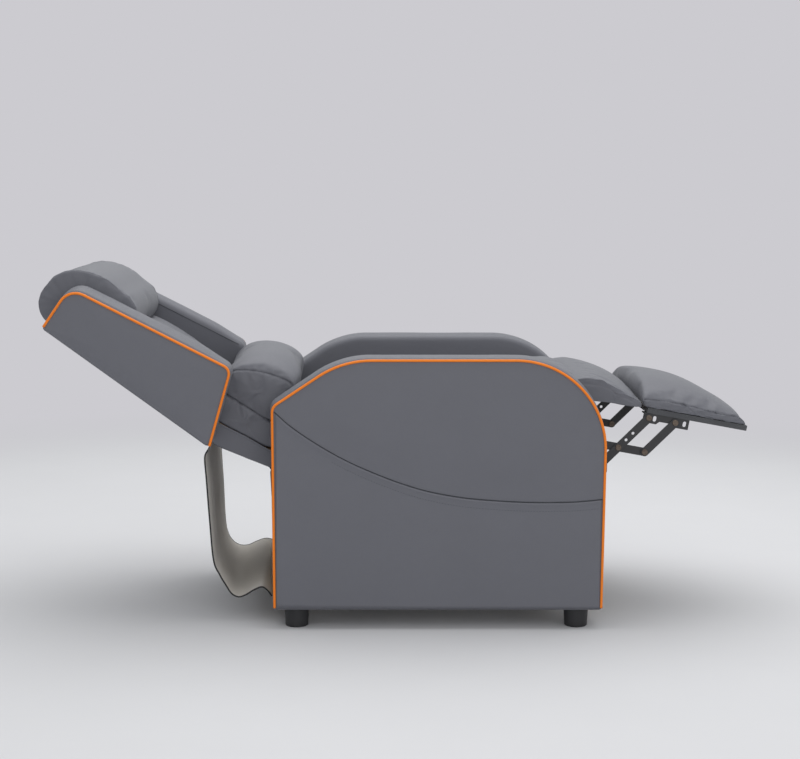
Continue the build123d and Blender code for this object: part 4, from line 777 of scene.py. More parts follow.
@dataclass(frozen=True)
class PaintedSteel:
    """Powder coated steel with faint orange peel and rubbed spots."""

    name: str
    colour: Colour
    roughness: float = 0.42

    def make(self) -> bpy.types.Material:
        """Builds the material."""
        bench = Bench(self.name)
        here = bench.place()
        peel = bench.cloud(here, 900.0, 2.0)
        worn = bench.cloud(here, 70.0, 6.0, 0.7).step(0.6, 0.82)
        dust = bench.cloud(here, 26.0, 4.0, 0.6)
        colour = bench.blend(worn * 0.5, self.colour, tuple(c * 2.6 + 0.02 for c in self.colour))
        return bench.finish({
            "Base Color": bench.blend(dust * 0.25, colour, (0.07, 0.07, 0.072)),
            "Roughness": self.roughness + dust * 0.16 - worn * 0.08,
            "Normal": bench.bump(peel, 0.12, 0.0004),
            "Specular IOR Level": 0.5,
        })


@dataclass(frozen=True)
class BareSteel:
    """Steel pins, rivets and wire with turned or oxidised skins."""

    name: str
    colour: Colour
    roughness: float = 0.38
    stain: Colour = (0.09, 0.06, 0.045)

    def make(self) -> bpy.types.Material:
        """Builds the material."""
        bench = Bench(self.name)
        here = bench.place()
        blotch = bench.cloud(here, 260.0, 5.0, 0.65).step(0.35, 0.7)
        lines = bench.cloud(bench.place(stretch=(1.0, 0.06, 1.0)), 2400.0, 2.0)
        return bench.finish({
            "Base Color": bench.blend(blotch * 0.7, self.colour, self.stain),
            "Metallic": 0.92 - blotch * 0.35,
            "Roughness": self.roughness + blotch * 0.22,
            "Normal": bench.bump(lines, 0.1, 0.0002),
        })


@dataclass(frozen=True)
class Plywood:
    """Raw plywood with long, wavy grain."""

    name: str
    colour: Colour
    dark: Colour

    def make(self) -> bpy.types.Material:
        """Builds the material."""
        bench = Bench(self.name)
        long = bench.place(stretch=(1.6, 1.0, 14.0))
        wave = bench.out(
            "ShaderNodeTexWave", "Fac", {"bands_direction": "Z"},
            {"Vector": long, "Scale": 2.2, "Distortion": 9.0, "Detail": 4.0},
        )
        fibre = bench.cloud(bench.place(stretch=(6.0, 60.0, 300.0)), 6.0, 4.0)
        tone = wave * 0.6 + fibre * 0.4
        return bench.finish({
            "Base Color": bench.blend(tone, self.dark, self.colour),
            "Roughness": 0.62 + fibre * 0.2,
            "Normal": bench.bump(fibre, 0.25, 0.0005),
        })


@dataclass(frozen=True)
class Moulded:
    """Moulded plastic with a fine spark-eroded skin."""

    name: str
    colour: Colour
    roughness: float = 0.5

    def make(self) -> bpy.types.Material:
        """Builds the material."""
        bench = Bench(self.name)
        here = bench.place()
        spark = bench.cloud(here, 1500.0, 3.0, 0.6)
        scuff = bench.cloud(bench.place(stretch=(1.0, 1.0, 0.3)), 60.0, 6.0, 0.7).step(0.55, 0.85)
        lifted = tuple(c * 2.2 + 0.012 for c in self.colour)
        return bench.finish({
            "Base Color": bench.blend(scuff * 0.4, self.colour, lifted),
            "Roughness": self.roughness + scuff * 0.14 + spark * 0.06,
            "Normal": bench.bump(spark, 0.16, 0.0003),
        })


@dataclass(frozen=True)
class Woven:
    """Plain woven cloth or webbing."""

    name: str
    colour: Colour
    dark: Colour
    threads: float = 900.0

    def make(self) -> bpy.types.Material:
        """Builds the material."""
        bench = Bench(self.name)
        here = bench.place()

        def rows(direction: str) -> Wire:
            """Threads that lie in one direction."""
            return bench.out(
                "ShaderNodeTexWave", "Fac", {"bands_direction": direction},
                {"Vector": here, "Scale": self.threads / 20, "Distortion": 0.6, "Detail": 1.0},
            )

        weave = rows("Y") * 0.5 + rows("DIAGONAL") * 0.5
        fuzz = bench.cloud(here, 1300.0, 3.0, 0.7)
        drift = bench.cloud(here, 14.0, 3.0)
        tone = weave * 0.55 + fuzz * 0.25 + drift * 0.2
        return bench.finish({
            "Base Color": bench.blend(tone, self.dark, self.colour),
            "Roughness": 0.82 + fuzz * 0.12,
            "Normal": bench.bump(weave + fuzz * 0.5, 0.4, 0.0006),
            "Sheen Weight": 0.12,
        })


@dataclass(frozen=True)
class Felted:
    """Pressed fibre cloth, as used under seats and on boards."""

    name: str
    colour: Colour
    dark: Colour

    def make(self) -> bpy.types.Material:
        """Builds the material."""
        bench = Bench(self.name)
        here = bench.place()
        fibre = bench.cloud(bench.place(stretch=(1.0, 1.6, 0.7)), 700.0, 6.0, 0.75)
        dots = bench.cells(here, 330.0).step(0.02, 0.2)
        drift = bench.cloud(here, 22.0, 4.0, 0.6)
        tone = fibre * 0.6 + drift * 0.4
        return bench.finish({
            "Base Color": bench.blend(tone, self.dark, self.colour),
            "Roughness": 0.86 + fibre * 0.1,
            "Normal": bench.bump(fibre + dots * 0.5, 0.5, 0.0007),
            "Sheen Weight": 0.1,
        })


class Slot(Enum):
    """Material slots of the record."""

    LEATHER = "grey_leather"
    PIPING = "orange_piping"
    BLACK_STEEL = "black_steel"
    RIVETS = "rivet_steel"
    TUBES = "tube_steel"
    PLYWOOD = "plywood"
    BOARD = "black_board"
    WEBBING = "webbing"
    SPRINGS = "spring_steel"
    FEET = "foot_plastic"
    FLAP = "flap_cloth"
    APRON = "apron_cloth"
    ROLLERS = "roller_plastic"


@dataclass
class Finishes:
    """All the materials, made once."""

    leather_colour: Colour = screen(101, 102, 109)
    made: dict[Slot, bpy.types.Material] = field(default_factory=dict)
    lining: bpy.types.Material | None = None
    hem: bpy.types.Material | None = None
    thread: bpy.types.Material | None = None
    underside: bpy.types.Material | None = None
    painted_shade_line: bpy.types.Material | None = None

    def build(self) -> None:
        """Makes each material."""
        soot = (0.012, 0.012, 0.013)
        self.made = {
            Slot.LEATHER: Leather("grey_leather", self.leather_colour).make(),
            Slot.PIPING: Leather(
                "orange_piping", screen(240, 126, 18), roughness=0.5, grain=900.0, relief=0.1
            ).make(),
            Slot.BLACK_STEEL: PaintedSteel("black_steel", (0.022, 0.022, 0.024)).make(),
            Slot.TUBES: PaintedSteel("tube_steel", (0.028, 0.028, 0.03), 0.36).make(),
            Slot.RIVETS: BareSteel("rivet_steel", (0.16, 0.13, 0.105), 0.42).make(),
            Slot.SPRINGS: BareSteel("spring_steel", (0.35, 0.35, 0.34), 0.3).make(),
            Slot.PLYWOOD: Plywood("plywood", (0.52, 0.37, 0.22), (0.36, 0.23, 0.12)).make(),
            Slot.BOARD: Felted("black_board", screen(92, 93, 96), screen(58, 59, 62)).make(),
            Slot.WEBBING: Woven("webbing", (0.045, 0.045, 0.047), soot).make(),
            Slot.FEET: Moulded("foot_plastic", (0.018, 0.018, 0.02), 0.46).make(),
            Slot.FLAP: Leather("flap_cloth", screen(104, 104, 106), roughness=0.5).make(),
            Slot.APRON: Felted("apron_cloth", (0.03, 0.03, 0.032), soot).make(),
            Slot.ROLLERS: Moulded("roller_plastic", (0.6, 0.6, 0.57), 0.4).make(),
        }
        self.lining = Woven("flap_lining", screen(226, 221, 213), screen(204, 199, 191)).make()
        # Dark leather for thin tubes laid along seams: painted shade standing in for the shadow in each
        # seam's groove.
        self.painted_shade_line = Leather("painted_seam_shade", screen(52, 53, 59), roughness=0.6).make()
        self.hem = Woven("dark_hem", (0.03, 0.03, 0.032), soot).make()
        self.thread = Woven("thread", screen(86, 88, 95), screen(60, 62, 68), 3000.0).make()
        self.underside = Felted("pad_underside", (0.035, 0.035, 0.037), soot).make()

    def dress(self, piece: bpy.types.Object, slot: Slot) -> None:
        """Gives a new piece the finish of one of the record's slots."""
        piece.data.materials.clear()
        piece.data.materials.append(self.made[slot])


# Upholstered pieces

@dataclass
class Slab:
    """Arm or wing: a board wrapped in padding, corded round its outer face."""

    name: str
    plane: SidePlane
    corners: Sequence[Point]
    radii: Sequence[float]
    cord_corners: Sequence[Point]
    cord_radii: Sequence[float]
    inner: float
    outer: float = 337.0
    side: int = -1
    crown: float = 8.0
    edge_crown: float = 3.0
    raise_inner: float = 0.0
    edge_radius: float = 13.0
    face_bulge: float = 1.4
    flat_below: bool = True
    seed: float = 1.0
    low_end: Point | None = None
    cord_inset: float = 1.8
    face_shape: Callable[[np.ndarray], np.ndarray] | None = None

    FACE_SHARES: ClassVar[tuple[float, ...]] = (0.06, 0.2, 0.35, 0.5, 0.64, 0.76, 0.86, 0.93)
    LIP: ClassVar[Sequence[Point]] = (
        (6.6, 0.0), (5.8, 0.0), (5.0, 0.1), (3.9, 0.5), (2.6, 1.6), (2.2, 3.2), (1.2, 5.0)
    )

    def ring(self) -> tuple[np.ndarray, np.ndarray]:
        """The outline and the directions that point out of it."""
        outline = rounded(self.corners, self.radii, True)
        length = run_length([*outline, outline[0]])
        ring = paced(outline, 2 * int(length / 10.0), True)
        out = facing(ring)
        out = eased(out, 6)
        return ring, out / np.linalg.norm(out, axis=1)[:, None]

    def swell(self, ring: np.ndarray, out: np.ndarray, share: float) -> np.ndarray:
        """How far the band stands off the outline.

        Args:
            ring: The outline.
            out: Directions out of it.
            share: Place across the band, 0 at the cord and 1 at the inner face.

        Returns:
            One distance for each place of the outline.
        """
        lift = self.crown * np.maximum(out[:, 1], 0) + self.edge_crown * np.abs(out[:, 0])
        if self.flat_below:
            lift = lift * smooth(ring[:, 1], self.corners[0][1] + 5, self.corners[0][1] + 90)
            lift = np.where(out[:, 1] < -0.4, 0.0, lift)
        if self.low_end is not None:
            lift = lift * (0.45 + 0.55 * smooth(ring[:, 0], *self.low_end))
        bow = math.sin(math.pi * min(1.0, share * 1.04)) ** 0.8
        raised = self.raise_inner * np.maximum(out[:, 1], 0) * float(smooth(share, 0.25, 0.85))
        if self.low_end is not None:
            raised = raised * smooth(ring[:, 0], *self.low_end)
        return lift * bow + raised

    def build(self, finishes: Finishes) -> bpy.types.Object:
        """Makes the covered slab."""
        ring, out = self.ring()
        centre = ring.mean(axis=0)
        rings = []
        tuck = ring - out * self.LIP[0][0]
        for share in self.FACE_SHARES:
            rings.append((centre + (tuck - centre) * share, self.outer))
        for inset, depth in self.LIP:
            rings.append((ring - out * inset, self.outer - depth))
        radius = self.edge_radius
        start, end = self.outer - 6.5, self.inner + radius
        for i in range(13):
            share = i / 12
            across = start + (end - start) * share
            whole = (self.outer - across) / (self.outer - self.inner)
            lift = self.swell(ring, out, whole)
            rings.append((ring + out * lift[:, None], across))
        last = self.swell(ring, out, 1 - radius / (self.outer - self.inner))
        for i in range(1, 7):
            turn = math.pi / 2 * i / 6
            drop = radius * (1 - math.cos(turn))
            lift = last * (1 - 0.25 * i / 6) - drop
            rings.append((ring + out * lift[:, None], end - radius * math.sin(turn)))
        inner = rings[-1][0]
        for share in (0.96, 0.88, 0.76, 0.6, 0.42, 0.22, 0.06):
            rings.append((centre + (inner - centre) * share, self.inner))
        space = [self.plane.place(flat, self.side * across) for flat, across in rings]
        piece = skinned(self.name, space)
        places, out3 = positions(piece), normals(piece)
        depth = np.abs(places[:, 1]) / MM
        waves = wander(places, 0.11, self.seed) * 0.8 + wander(places, 0.05, self.seed + 4) * 0.25
        calm = smooth(np.abs(depth - self.outer), 6.0, 22.0)
        places += out3 * (waves * calm * MM)[:, None]
        beyond = [1.0] * (len(rings) - len(self.FACE_SHARES))
        shares = np.repeat([*self.FACE_SHARES, *beyond], len(ring))
        rise = self.face_bulge * (1 - shares**4) * (shares < 1.0)
        if self.face_shape is not None:
            flat = np.vstack([r for r, _ in rings])
            rise = rise * self.face_shape(flat)
        soft = 1 + 0.3 * wander(places, 0.16, self.seed + 9)
        places[:, 1] += self.side * rise * soft * MM
        put(piece, places)
        finishes.dress(piece, Slot.LEATHER)
        return piece

    def cord(self, finishes: Finishes) -> bpy.types.Object:
        """Makes the piping along the outer edge."""
        line = rounded(self.cord_corners, self.cord_radii, False)
        flat = paced(line, int(run_length(line) / 3.0), False)[2:-2]
        out = np.gradient(flat, axis=0)
        out = np.stack([out[:, 1], -out[:, 0]], axis=1)
        out *= np.sign(((flat - flat.mean(axis=0)) * out).sum())
        out /= np.linalg.norm(out, axis=1)[:, None]
        flat = flat - out * self.cord_inset
        path = self.plane.place(flat, self.side * (self.outer + 0.6))
        wobble = 1 + 0.018 * wander(path, 0.012, self.seed + 2)
        piece = tube(f"{self.name}_piping", path, 3.0 * MM * wobble, 14)
        finishes.dress(piece, Slot.PIPING)
        return piece


@dataclass
class Pad:
    """Cushion whose side view changes from its ends to its middle."""

    name: str
    body: str
    plane: SidePlane
    side_moves: Sequence[Move]
    centre_moves: Sequence[Move]
    half_width: float
    held_below: float
    end_bulge: float = 2.5
    pressure: float = 4.0
    shrink: float = -0.02
    cap: float = 8.0
    easing: int = 5
    power: float = 4.0
    full: float = 0.6
    pitch: float = 8.0
    hold: Callable[[np.ndarray, np.ndarray], np.ndarray] | None = None
    seams: dict[str, np.ndarray] = field(default_factory=dict)

    def profile(self, moves: Sequence[Move], counts: Sequence[int]) -> np.ndarray:
        """Closed ring from a table of lines and arcs."""
        start = moves[0][0]
        points: list[Point] = [start]
        for move, count in zip(moves[1:], counts):
            here = points[-1]
            middle = move[0] if len(move) == 2 else tuple(
                (a + b) / 2 for a, b in zip(here, move[0])
            )
            points += arc_points(here, middle, move[-1], count)
        gap = math.hypot(points[-1][0] - start[0], points[-1][1] - start[1])
        if gap > 1e-3:
            points += arc_points(
                points[-1], tuple((a + b) / 2 for a, b in zip(points[-1], start)), start, counts[-1]
            )
        return np.array(points[:-1], float)

    def counts(self) -> list[int]:
        """How many points each move gets."""
        counts = []
        here = self.centre_moves[0][0]
        for move in [*self.centre_moves[1:], [self.centre_moves[0][0]]]:
            length = run_length([here, *move])
            counts.append(max(2, int(round(length / self.pitch))))
            here = move[-1]
        return counts

    def fullness(self, place: float) -> float:
        """Share of the middle's shape at a place from -1 to 1 across the width."""
        return (1 - min(1.0, abs(place)) ** self.power) ** self.full

    def build(self) -> bpy.types.Object:
        """Makes the cover, fills it and divides it."""
        counts = self.counts()
        side = eased(self.profile(self.side_moves, counts), self.easing)
        centre = eased(self.profile(self.centre_moves, counts), self.easing)
        steps = int(self.half_width / self.pitch)
        shares = [math.sin(math.pi / 2 * i / steps) ** 0.92 for i in range(steps + 1)]
        places = [-s for s in reversed(shares)] + shares[1:]
        rings, across, kinds = [], [], []
        middle = side.mean(axis=0)
        inner = [0.12, 0.28, 0.44, 0.58, 0.7, 0.8, 0.88, 0.94, 0.98]
        for end, order in ((-1, inner), (1, list(reversed(inner)))):
            if end == 1:
                for place in places:
                    share = self.fullness(place)
                    rings.append(side + (centre - side) * share)
                    across.append(place * self.half_width)
                    kinds.append(1)
            for scale in order:
                rings.append(middle + (side - middle) * scale)
                across.append(end * (self.half_width + self.end_bulge * (1 - scale**2) ** 0.7))
                kinds.append(0)
        space = [self.plane.place(ring, y) for ring, y in zip(rings, across)]
        piece = skinned(self.name, space)
        flat = np.vstack(rings)
        rows = np.repeat(kinds, len(side))
        ys = np.repeat(across, len(side))
        held = (flat[:, 1] <= self.held_below).astype(float)
        held = np.maximum(held, (np.abs(np.abs(ys) - self.half_width) < 0.01) & (rows == 1))
        if self.hold is not None:
            held = np.maximum(held, self.hold(flat, ys))
        inflated(piece, held, self.pressure, self.shrink, self.cap)
        size = len(side)
        now = positions(piece)
        first = len(inner)
        last = first + len(places) - 1
        close = now[: len(rings) * size].reshape(len(rings), size, 3)
        seams = {"near": first, "far": last, "near_row": first + 1, "far_row": last - 1}
        self.seams = {key: np.vstack([close[i], close[i][:1]]) for key, i in seams.items()}
        divided(piece)
        return piece


class Shares:
    """Tables of moves as shares of a box."""

    @staticmethod
    def placed(
        table: Sequence[Move], start: float, base: float, length: float, height: float
    ) -> list[list[Point]]:
        """Turns a table of shares into real places."""
        return [
            [(start + x * length, base + y * height) for x, y in move] for move in table
        ]


@dataclass
class Chair:
    """The whole dressed chair."""

    finishes: Finishes
    pieces: dict[str, bpy.types.Object] = field(default_factory=dict)

    ARM_CORNERS: ClassVar[Sequence[Point]] = (
        (-280.0, 45.0), (-284.0, 512.0), (-125.0, 618.0), (472.0, 618.0), (466.0, 45.0)
    )
    WING_CORNERS: ClassVar[Sequence[Point]] = (
        (232.0, -13.0), (693.0, -13.0), (696.0, 100.0), (297.0, 163.0)
    )
    SEAM: ClassVar[Sequence[Point]] = (
        (-277.0, 499.0), (-240.0, 466.0), (-183.0, 427.0), (-122.0, 392.0), (-58.0, 362.5),
        (8.0, 337.0), (72.0, 318.0), (150.0, 304.0), (229.0, 297.0), (307.0, 293.5),
        (385.0, 294.0), (430.0, 297.0), (463.0, 300.5),
    )
    PANEL_ROLL: ClassVar[Sequence[Point]] = (
        (0.0, 1.0), (0.3, 2.2), (0.8, 3.0), (1.5, 3.5), (2.4, 3.8), (3.6, 3.85), (5.2, 3.6),
        (7.5, 3.2), (10.5, 2.8), (14.5, 2.5), (20.0, 2.3),
    )

    def keep(self, piece: bpy.types.Object, body: str, *nodes: str) -> bpy.types.Object:
        """Lets a finished piece ride on a body and stand for CAD nodes."""
        if piece.parent is None and "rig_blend" not in piece:
            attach(piece, body)
        if nodes:
            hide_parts(*nodes)
        self.pieces[piece.name] = piece
        LOG.info("%s rides on %s", piece.name, body)
        return piece

    def thread(
        self, name: str, piece: bpy.types.Object, path: np.ndarray, body: str, **sizes: float
    ) -> None:
        """Adds a row of stitches to a piece."""
        row = stitched(name, piece, path, **sizes)
        row.data.materials.append(self.finishes.thread)
        self.keep(row, body)

    def painted_shade_line(
        self, name: str, path: np.ndarray, body: str, radius: float = 0.9
    ) -> bpy.types.Object:
        """Adds a thin dark tube along a seam: painted shade for the shadow in the seam's groove.

        Args:
            name: Name of the shade line.
            path: Places along it, in metres.
            body: Body that carries it.
            radius: Half its width, in millimetres.

        Returns:
            The shade line.
        """
        spread = radius * MM * (0.85 + 0.3 * (wander(path, 0.03, 6.0) + 0.5))
        spread = np.maximum(spread, 0.4 * radius * MM)
        piece = tube(name, path, spread, 8)
        piece.data.materials.append(self.finishes.painted_shade_line)
        if body:
            self.keep(piece, body)
        return piece

    def arms(self) -> None:
        """Both arms with their piping and side panels."""
        for name, side in (("near", -1), ("far", 1)):
            slab = Slab(
                name=f"arm_{name}_cover", plane=GROUND,
                corners=self.ARM_CORNERS, radii=(5.0, 24.0, 220.0, 205.0, 5.0),
                cord_corners=self.ARM_CORNERS, cord_radii=(24.0, 220.0, 205.0),
                inner=245.0, side=side, seed=2.0 + side, crown=6.5, face_bulge=3.2,
                face_shape=self.above_seam,
            )
            cover = slab.build(self.finishes)
            self.keep(cover, "base", f"arm_{name}")
            self.keep(slab.cord(self.finishes), "base", f"arm_piping_{name}")
            self.panel(name, side)

    def above_seam(self, flat: np.ndarray) -> np.ndarray:
        """Share of the arm's fullness at places of its face, none below the side seam."""
        seam = np.array(self.SEAM)
        line = np.interp(flat[:, 0], seam[:, 0], seam[:, 1])
        return smooth(flat[:, 1] - line, 2.0, 90.0)

    def panel(self, name: str, side: int) -> None:
        """Lower side panel that laps over the arm's face along a curved seam."""
        curve = paced(smooth_run(self.SEAM), 150, False)
        xs = np.linspace(-274.5, 460.5, 184)
        tops = np.interp(xs, curve[:, 0], curve[:, 1])
        lean = np.cos(np.arctan(np.gradient(tops, xs)))
        face, hidden, low, rim, last = 337.0, 336.2, 50.0, 27.0, 100.0
        rolled, raised = zip(*self.PANEL_ROLL)
        drops = np.array([0.0, *rolled, rim, *np.linspace(35, last, 34)])
        heights = np.interp(drops, rolled, raised)
        heights[0] = -0.8
        front, back = [], []
        for x, top, slope in zip(xs, tops, lean):
            room = top - low
            spread = rim / slope + (drops - rim) / (last - rim) * (room - rim / slope)
            fallen = np.where(drops <= rim, drops / slope, spread)
            flat = np.stack([np.full(len(drops), x), top - fallen], axis=1)
            front.append(GROUND.place(flat, side * (face + heights)))
            back.append(GROUND.place(flat, side * np.full(len(drops), hidden)))
        grid = np.array(front)
        soft = wander(grid.reshape(-1, 3), 0.12, 5.0 + side) * 0.5
        soft += wander(grid.reshape(-1, 3), 0.05, 8.0 + side) * 0.14
        grid[:, 2:, 1] += side * soft.reshape(grid.shape[:2])[:, 2:] * MM
        rows = len(drops)
        half = grid.shape[0] * rows
        faces: list[tuple[int, ...]] = []
        for i in range(grid.shape[0] - 1):
            for j in range(rows - 1):
                a = i * rows + j
                faces.append((a, a + rows, a + rows + 1, a + 1))
                faces.append((half + a, half + a + 1, half + a + rows + 1, half + a + rows))
            a = i * rows
            faces.append((a, half + a, half + a + rows, a + rows))
            a += rows - 1
            faces.append((a, a + rows, half + a + rows, half + a))
        for j in range(rows - 1):
            faces.append((j, j + 1, half + j + 1, half + j))
            a = (grid.shape[0] - 1) * rows + j
            faces.append((a, half + a, half + a + 1, a + 1))
        sheet = made(
            f"side_panel_{name}_cover", np.vstack([grid.reshape(-1, 3), np.vstack(back)]), faces
        )
        turn_out(sheet)
        self.finishes.dress(sheet, Slot.LEATHER)
        self.keep(sheet, "base", f"side_panel_{name}")
        # A dark tube just above the panel's edge: painted shade for the groove's shadow along the seam.
        upper = curve + np.array([[0.0, 1.1]])
        self.painted_shade_line(f"side_seam_shade_{name}", GROUND.place(upper, side * 337.7), "base", 1.15)
        row = np.array([(x, z - 19.0) for x, z in curve if x > -150.0])
        path = GROUND.place(row, side * 339.5)
        self.thread(f"side_panel_{name}_stitches", sheet, path, "base", radius=0.34)

    def wings(self) -> None:
        """Both wings of the back with their piping."""
        for name, side in (("near", -1), ("far", 1)):
            slab = Slab(
                name=f"wing_{name}_cover", plane=BACK,
                corners=self.WING_CORNERS, radii=(9.0, 8.0, 42.0, 22.0),
                cord_corners=(*self.WING_CORNERS[1:], self.WING_CORNERS[0]),
                cord_radii=(42.0, 22.0),
                inner=240.0, side=side, crown=11.0, edge_crown=2.5, raise_inner=5.0,
                edge_radius=14.0, flat_below=False, seed=12.0 + side, face_bulge=2.4,
                low_end=(300.0, 400.0),
            )
            cover = slab.build(self.finishes)
            self.keep(cover, "backrest", f"wing_{name}")
            self.keep(slab.cord(self.finishes), "backrest", f"wing_piping_{name}")
            # A dark tube along the wing's inner seam: painted shade for the shadow in the seam's groove.
            line = [(s, 156.5 - 0.158 * (s - 297.0)) for s in np.linspace(312.0, 668.0, 120)]
            path = BACK.place(np.array(line), side * 239.9)
            self.painted_shade_line(f"wing_seam_shade_{name}", path, "backrest", 0.7)

    def lumbar(self) -> None:
        """Lumbar cushion."""
        side = [
            [(0.0, 0.066)], [(0.87, 0.0105)], [(0.96, 0.28), (0.84, 0.44)],
            [(0.48, 0.64), (0.05, 0.74)], [(-0.01, 0.44), (0.0, 0.066)],
        ]
        centre = [
            [(0.0, 0.066)], [(0.87, 0.0105)], [(0.99, 0.37), (0.89, 0.62)],
            [(0.52, 0.91), (0.04, 0.96)], [(-0.05, 0.6), (0.0, 0.066)],
        ]
        box = (150.0, 92.0, 155.0, 153.0)
        pad = Pad(
            "lumbar_cover", "backrest", BACK, Shares.placed(side, *box),
            Shares.placed(centre, *box), 234.5, 106.0, end_bulge=2.0, cap=5.0,
        )
        self.cushion(pad, "lumbar_cushion", 2.6)

    def pillow(self) -> None:
        """Head pillow, rolled over the top of the back."""
        def moves(top: float, low: float) -> list[list[Point]]:
            """Side view, fuller on top and longer at its lower end by two lengths."""
            return [
                [(549.0, 35.5)], [(693.0, 35.5)], [(693.0, -11.0)], [(702.0, -11.5)],
                [(737.0, 6.0), (751.0, 52.0)],
                [(742.0, 96.0 + top * 0.5), (700.0, 134.0 + top * 0.8)],
                [(655.0, 148.0 + top), (600.0, 145.0 + top * 1.1)],
                [(560.0, 141.0 + top), (539.0 - low, 116.0 + top * 0.8)],
                [(534.0 - low, 98.0), (536.0, 82.0)],
            ]
        pad = Pad(
            "head_pillow_cover", "backrest", BACK, moves(0.0, 0.0), moves(4.5, 3.0),
            234.0, 36.0, end_bulge=3.0, cap=2.5, power=3.0, full=0.7, easing=3,
        )
        self.cushion(pad, "head_pillow", 0.8, False)

    def cushion(
        self, pad: Pad, node: str, crease: float = 2.0, sewn: bool = True
    ) -> bpy.types.Object:
        """Builds a pad with pressed end seams and gathers, and stitches where it is sewn."""
        piece = pad.build()
        for i, end in enumerate(("near", "far")):
            creased(piece, pad.seams[end], crease, 3.0, 1.1, 20.0, 26.0, 3.0 + i)
        self.finishes.dress(piece, Slot.LEATHER)
        self.keep(piece, pad.body, node)
        for end in ("near", "far") if sewn else ():
            self.thread(
                f"{pad.name}_{end}_stitches", piece, pad.seams[f"{end}_row"], pad.body
            )
        return piece

    def back_pads(self) -> None:
        """Long back pad between the wings and the pad below it."""
        centre = [
            [(296.0, 35.5)], [(546.0, 35.5)], [(546.0, 88.0)], [(421.0, 103.0), (296.0, 92.0)]
        ]
        side = [
            [(296.0, 35.5)], [(546.0, 35.5)], [(546.0, 80.0)], [(421.0, 93.0), (296.0, 84.0)]
        ]
        pad = Pad(
            "back_pad_cover", "backrest", BACK, side, centre, 235.0, 40.0,
            end_bulge=1.5, cap=6.0,
        )
        self.cushion(pad, "back_pad")
        low = [
            [(112.0, 51.5)], [(242.0, 33.5)], [(275.0, 33.5)], [(287.0, 35.5)],
            [(287.0, 92.0)], [(200.0, 100.0), (112.0, 103.0)],
        ]
        pad = Pad(
            "lower_back_cover", "backrest", BACK, low, low, 235.5, 56.0,
            end_bulge=1.5, cap=3.0,
        )
        self.cushion(pad, "lower_back_pad")

    def seat(self) -> None:
        """Seat cushion."""
        def moves(drop: float, low: float) -> list[list[Point]]:
            """Side view, with its top lowered by a drop and once more near the nose."""
            return [
                [(-94.0, 374.5)], [(-94.0, 486.0 - drop)],
                [(-88.6, 498.0 - drop), (-76.0, 504.0 - drop)],
                [(157.0, 548.0 - drop), (389.0, 574.0 - drop)],
                [(430.0, 571.0 - low - drop), around_nose(90, 25.0)],
                [around_nose(45, 25.0), around_nose(0, 25.0)],
                [around_nose(-45, 25.0), around_nose(-90, 25.0)],
                [around_nose(-135)], [(444.0, 452.8)],
            ]
        pad = Pad(
            "seat_cover", "seat", GROUND, moves(15.0, 0.0), moves(0.0, 3.0), 232.6, 0.0,
            end_bulge=1.4, cap=7.0,
            hold=lambda flat, ys: (
                (flat[:, 1] < 376.0 + 0.1461 * (flat[:, 0] + 94.0))
                | (flat[:, 0] > 425.0) | (flat[:, 0] < -55.0)
            ).astype(float),
        )
        self.cushion(pad, "seat_cushion")

    def bridge(self) -> None:
        """Padded front section, whose cover runs on over the seat's nose."""
        def moves(drop: float) -> list[list[Point]]:
            """Side view, with its top lowered by shares of a drop."""
            return [
                [around_nose(-50, 28.0)],
                [around_nose(20, 28.0), around_nose(86, 28.5)],
                [(440.0, 568.0 - drop * 0.4), (404.0, 565.0 - drop * 0.5)],
                [(403.0, 568.0 - drop * 0.5)],
                [(425.0, 575.0 - drop * 0.5), (449.0, 574.5 - drop * 0.45)],
                [(494.0, 566.0 - drop * 0.8), (532.0, 549.0 - drop * 1.2)],
                [(553.0, 534.0 - drop * 0.9), (567.0, 515.0 - drop * 0.35)],
                [(567.0, 498.0)],
                [(523.0, 502.0), around_nose(-50, 28.0)],
            ]
        pad = Pad(
            "bridge_cover", "bridge", GROUND, moves(20.0), moves(0.0), 235.4, 0.0,
            end_bulge=1.0, cap=2.0, easing=2, pitch=7.0, power=2.2, full=0.85,
            hold=lambda flat, ys: (
                (flat[:, 0] < 440.0) | (flat[:, 1] < 505.0)
                | (np.hypot(flat[:, 0] - NOSE[0], flat[:, 1] - NOSE[1]) < 29.5)
            ).astype(float),
        )
        piece = pad.build()
        for i, end in enumerate(("near", "far")):
            creased(piece, pad.seams[end], 0.5, 3.0, 0.3, 14.0, 22.0, 6.0 + i)
        self.finishes.dress(piece, Slot.LEATHER)
        piece.data.materials.append(self.finishes.underside)
        for face in piece.data.polygons:
            x, _, z = face.center / MM
            if face.normal.z < -0.5 and x > 488.0 and z < 512.0:
                face.material_index = 1
        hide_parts("bridge_pad")
        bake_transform(piece, "seat", "bridge", (0.446, 0.0, 0.56), (0.500, 0.0, 0.545))
        self.pieces[piece.name] = piece

    def footrest(self) -> None:
        """Footrest pad."""
        centre = [
            [(0.004, 0.0)], [(-0.045, 0.4), (-0.02, 0.8)], [(0.09, 0.86), (0.27, 0.89)],
            [(0.519, 0.82), (0.747, 0.59)], [(0.913, 0.33), (1.0, 0.0)],
        ]
        side = [
            [(0.004, 0.0)], [(-0.02, 0.14), (0.0, 0.25)], [(0.16, 0.3), (0.373, 0.3)],
            [(0.602, 0.25), (0.809, 0.215)], [(0.954, 0.139), (1.0, 0.0)],
        ]
        box = (-15.0, 23.4, 241.0, 72.0)
        pad = Pad(
            "footrest_cover", "footrest", FOOTREST, Shares.placed(side, *box),
            Shares.placed(centre, *box), 236.0, 24.5, end_bulge=3.0, cap=4.0, easing=1,
            pitch=7.0, power=3.0, full=0.65,
        )
        self.cushion(pad, "footrest_pad")

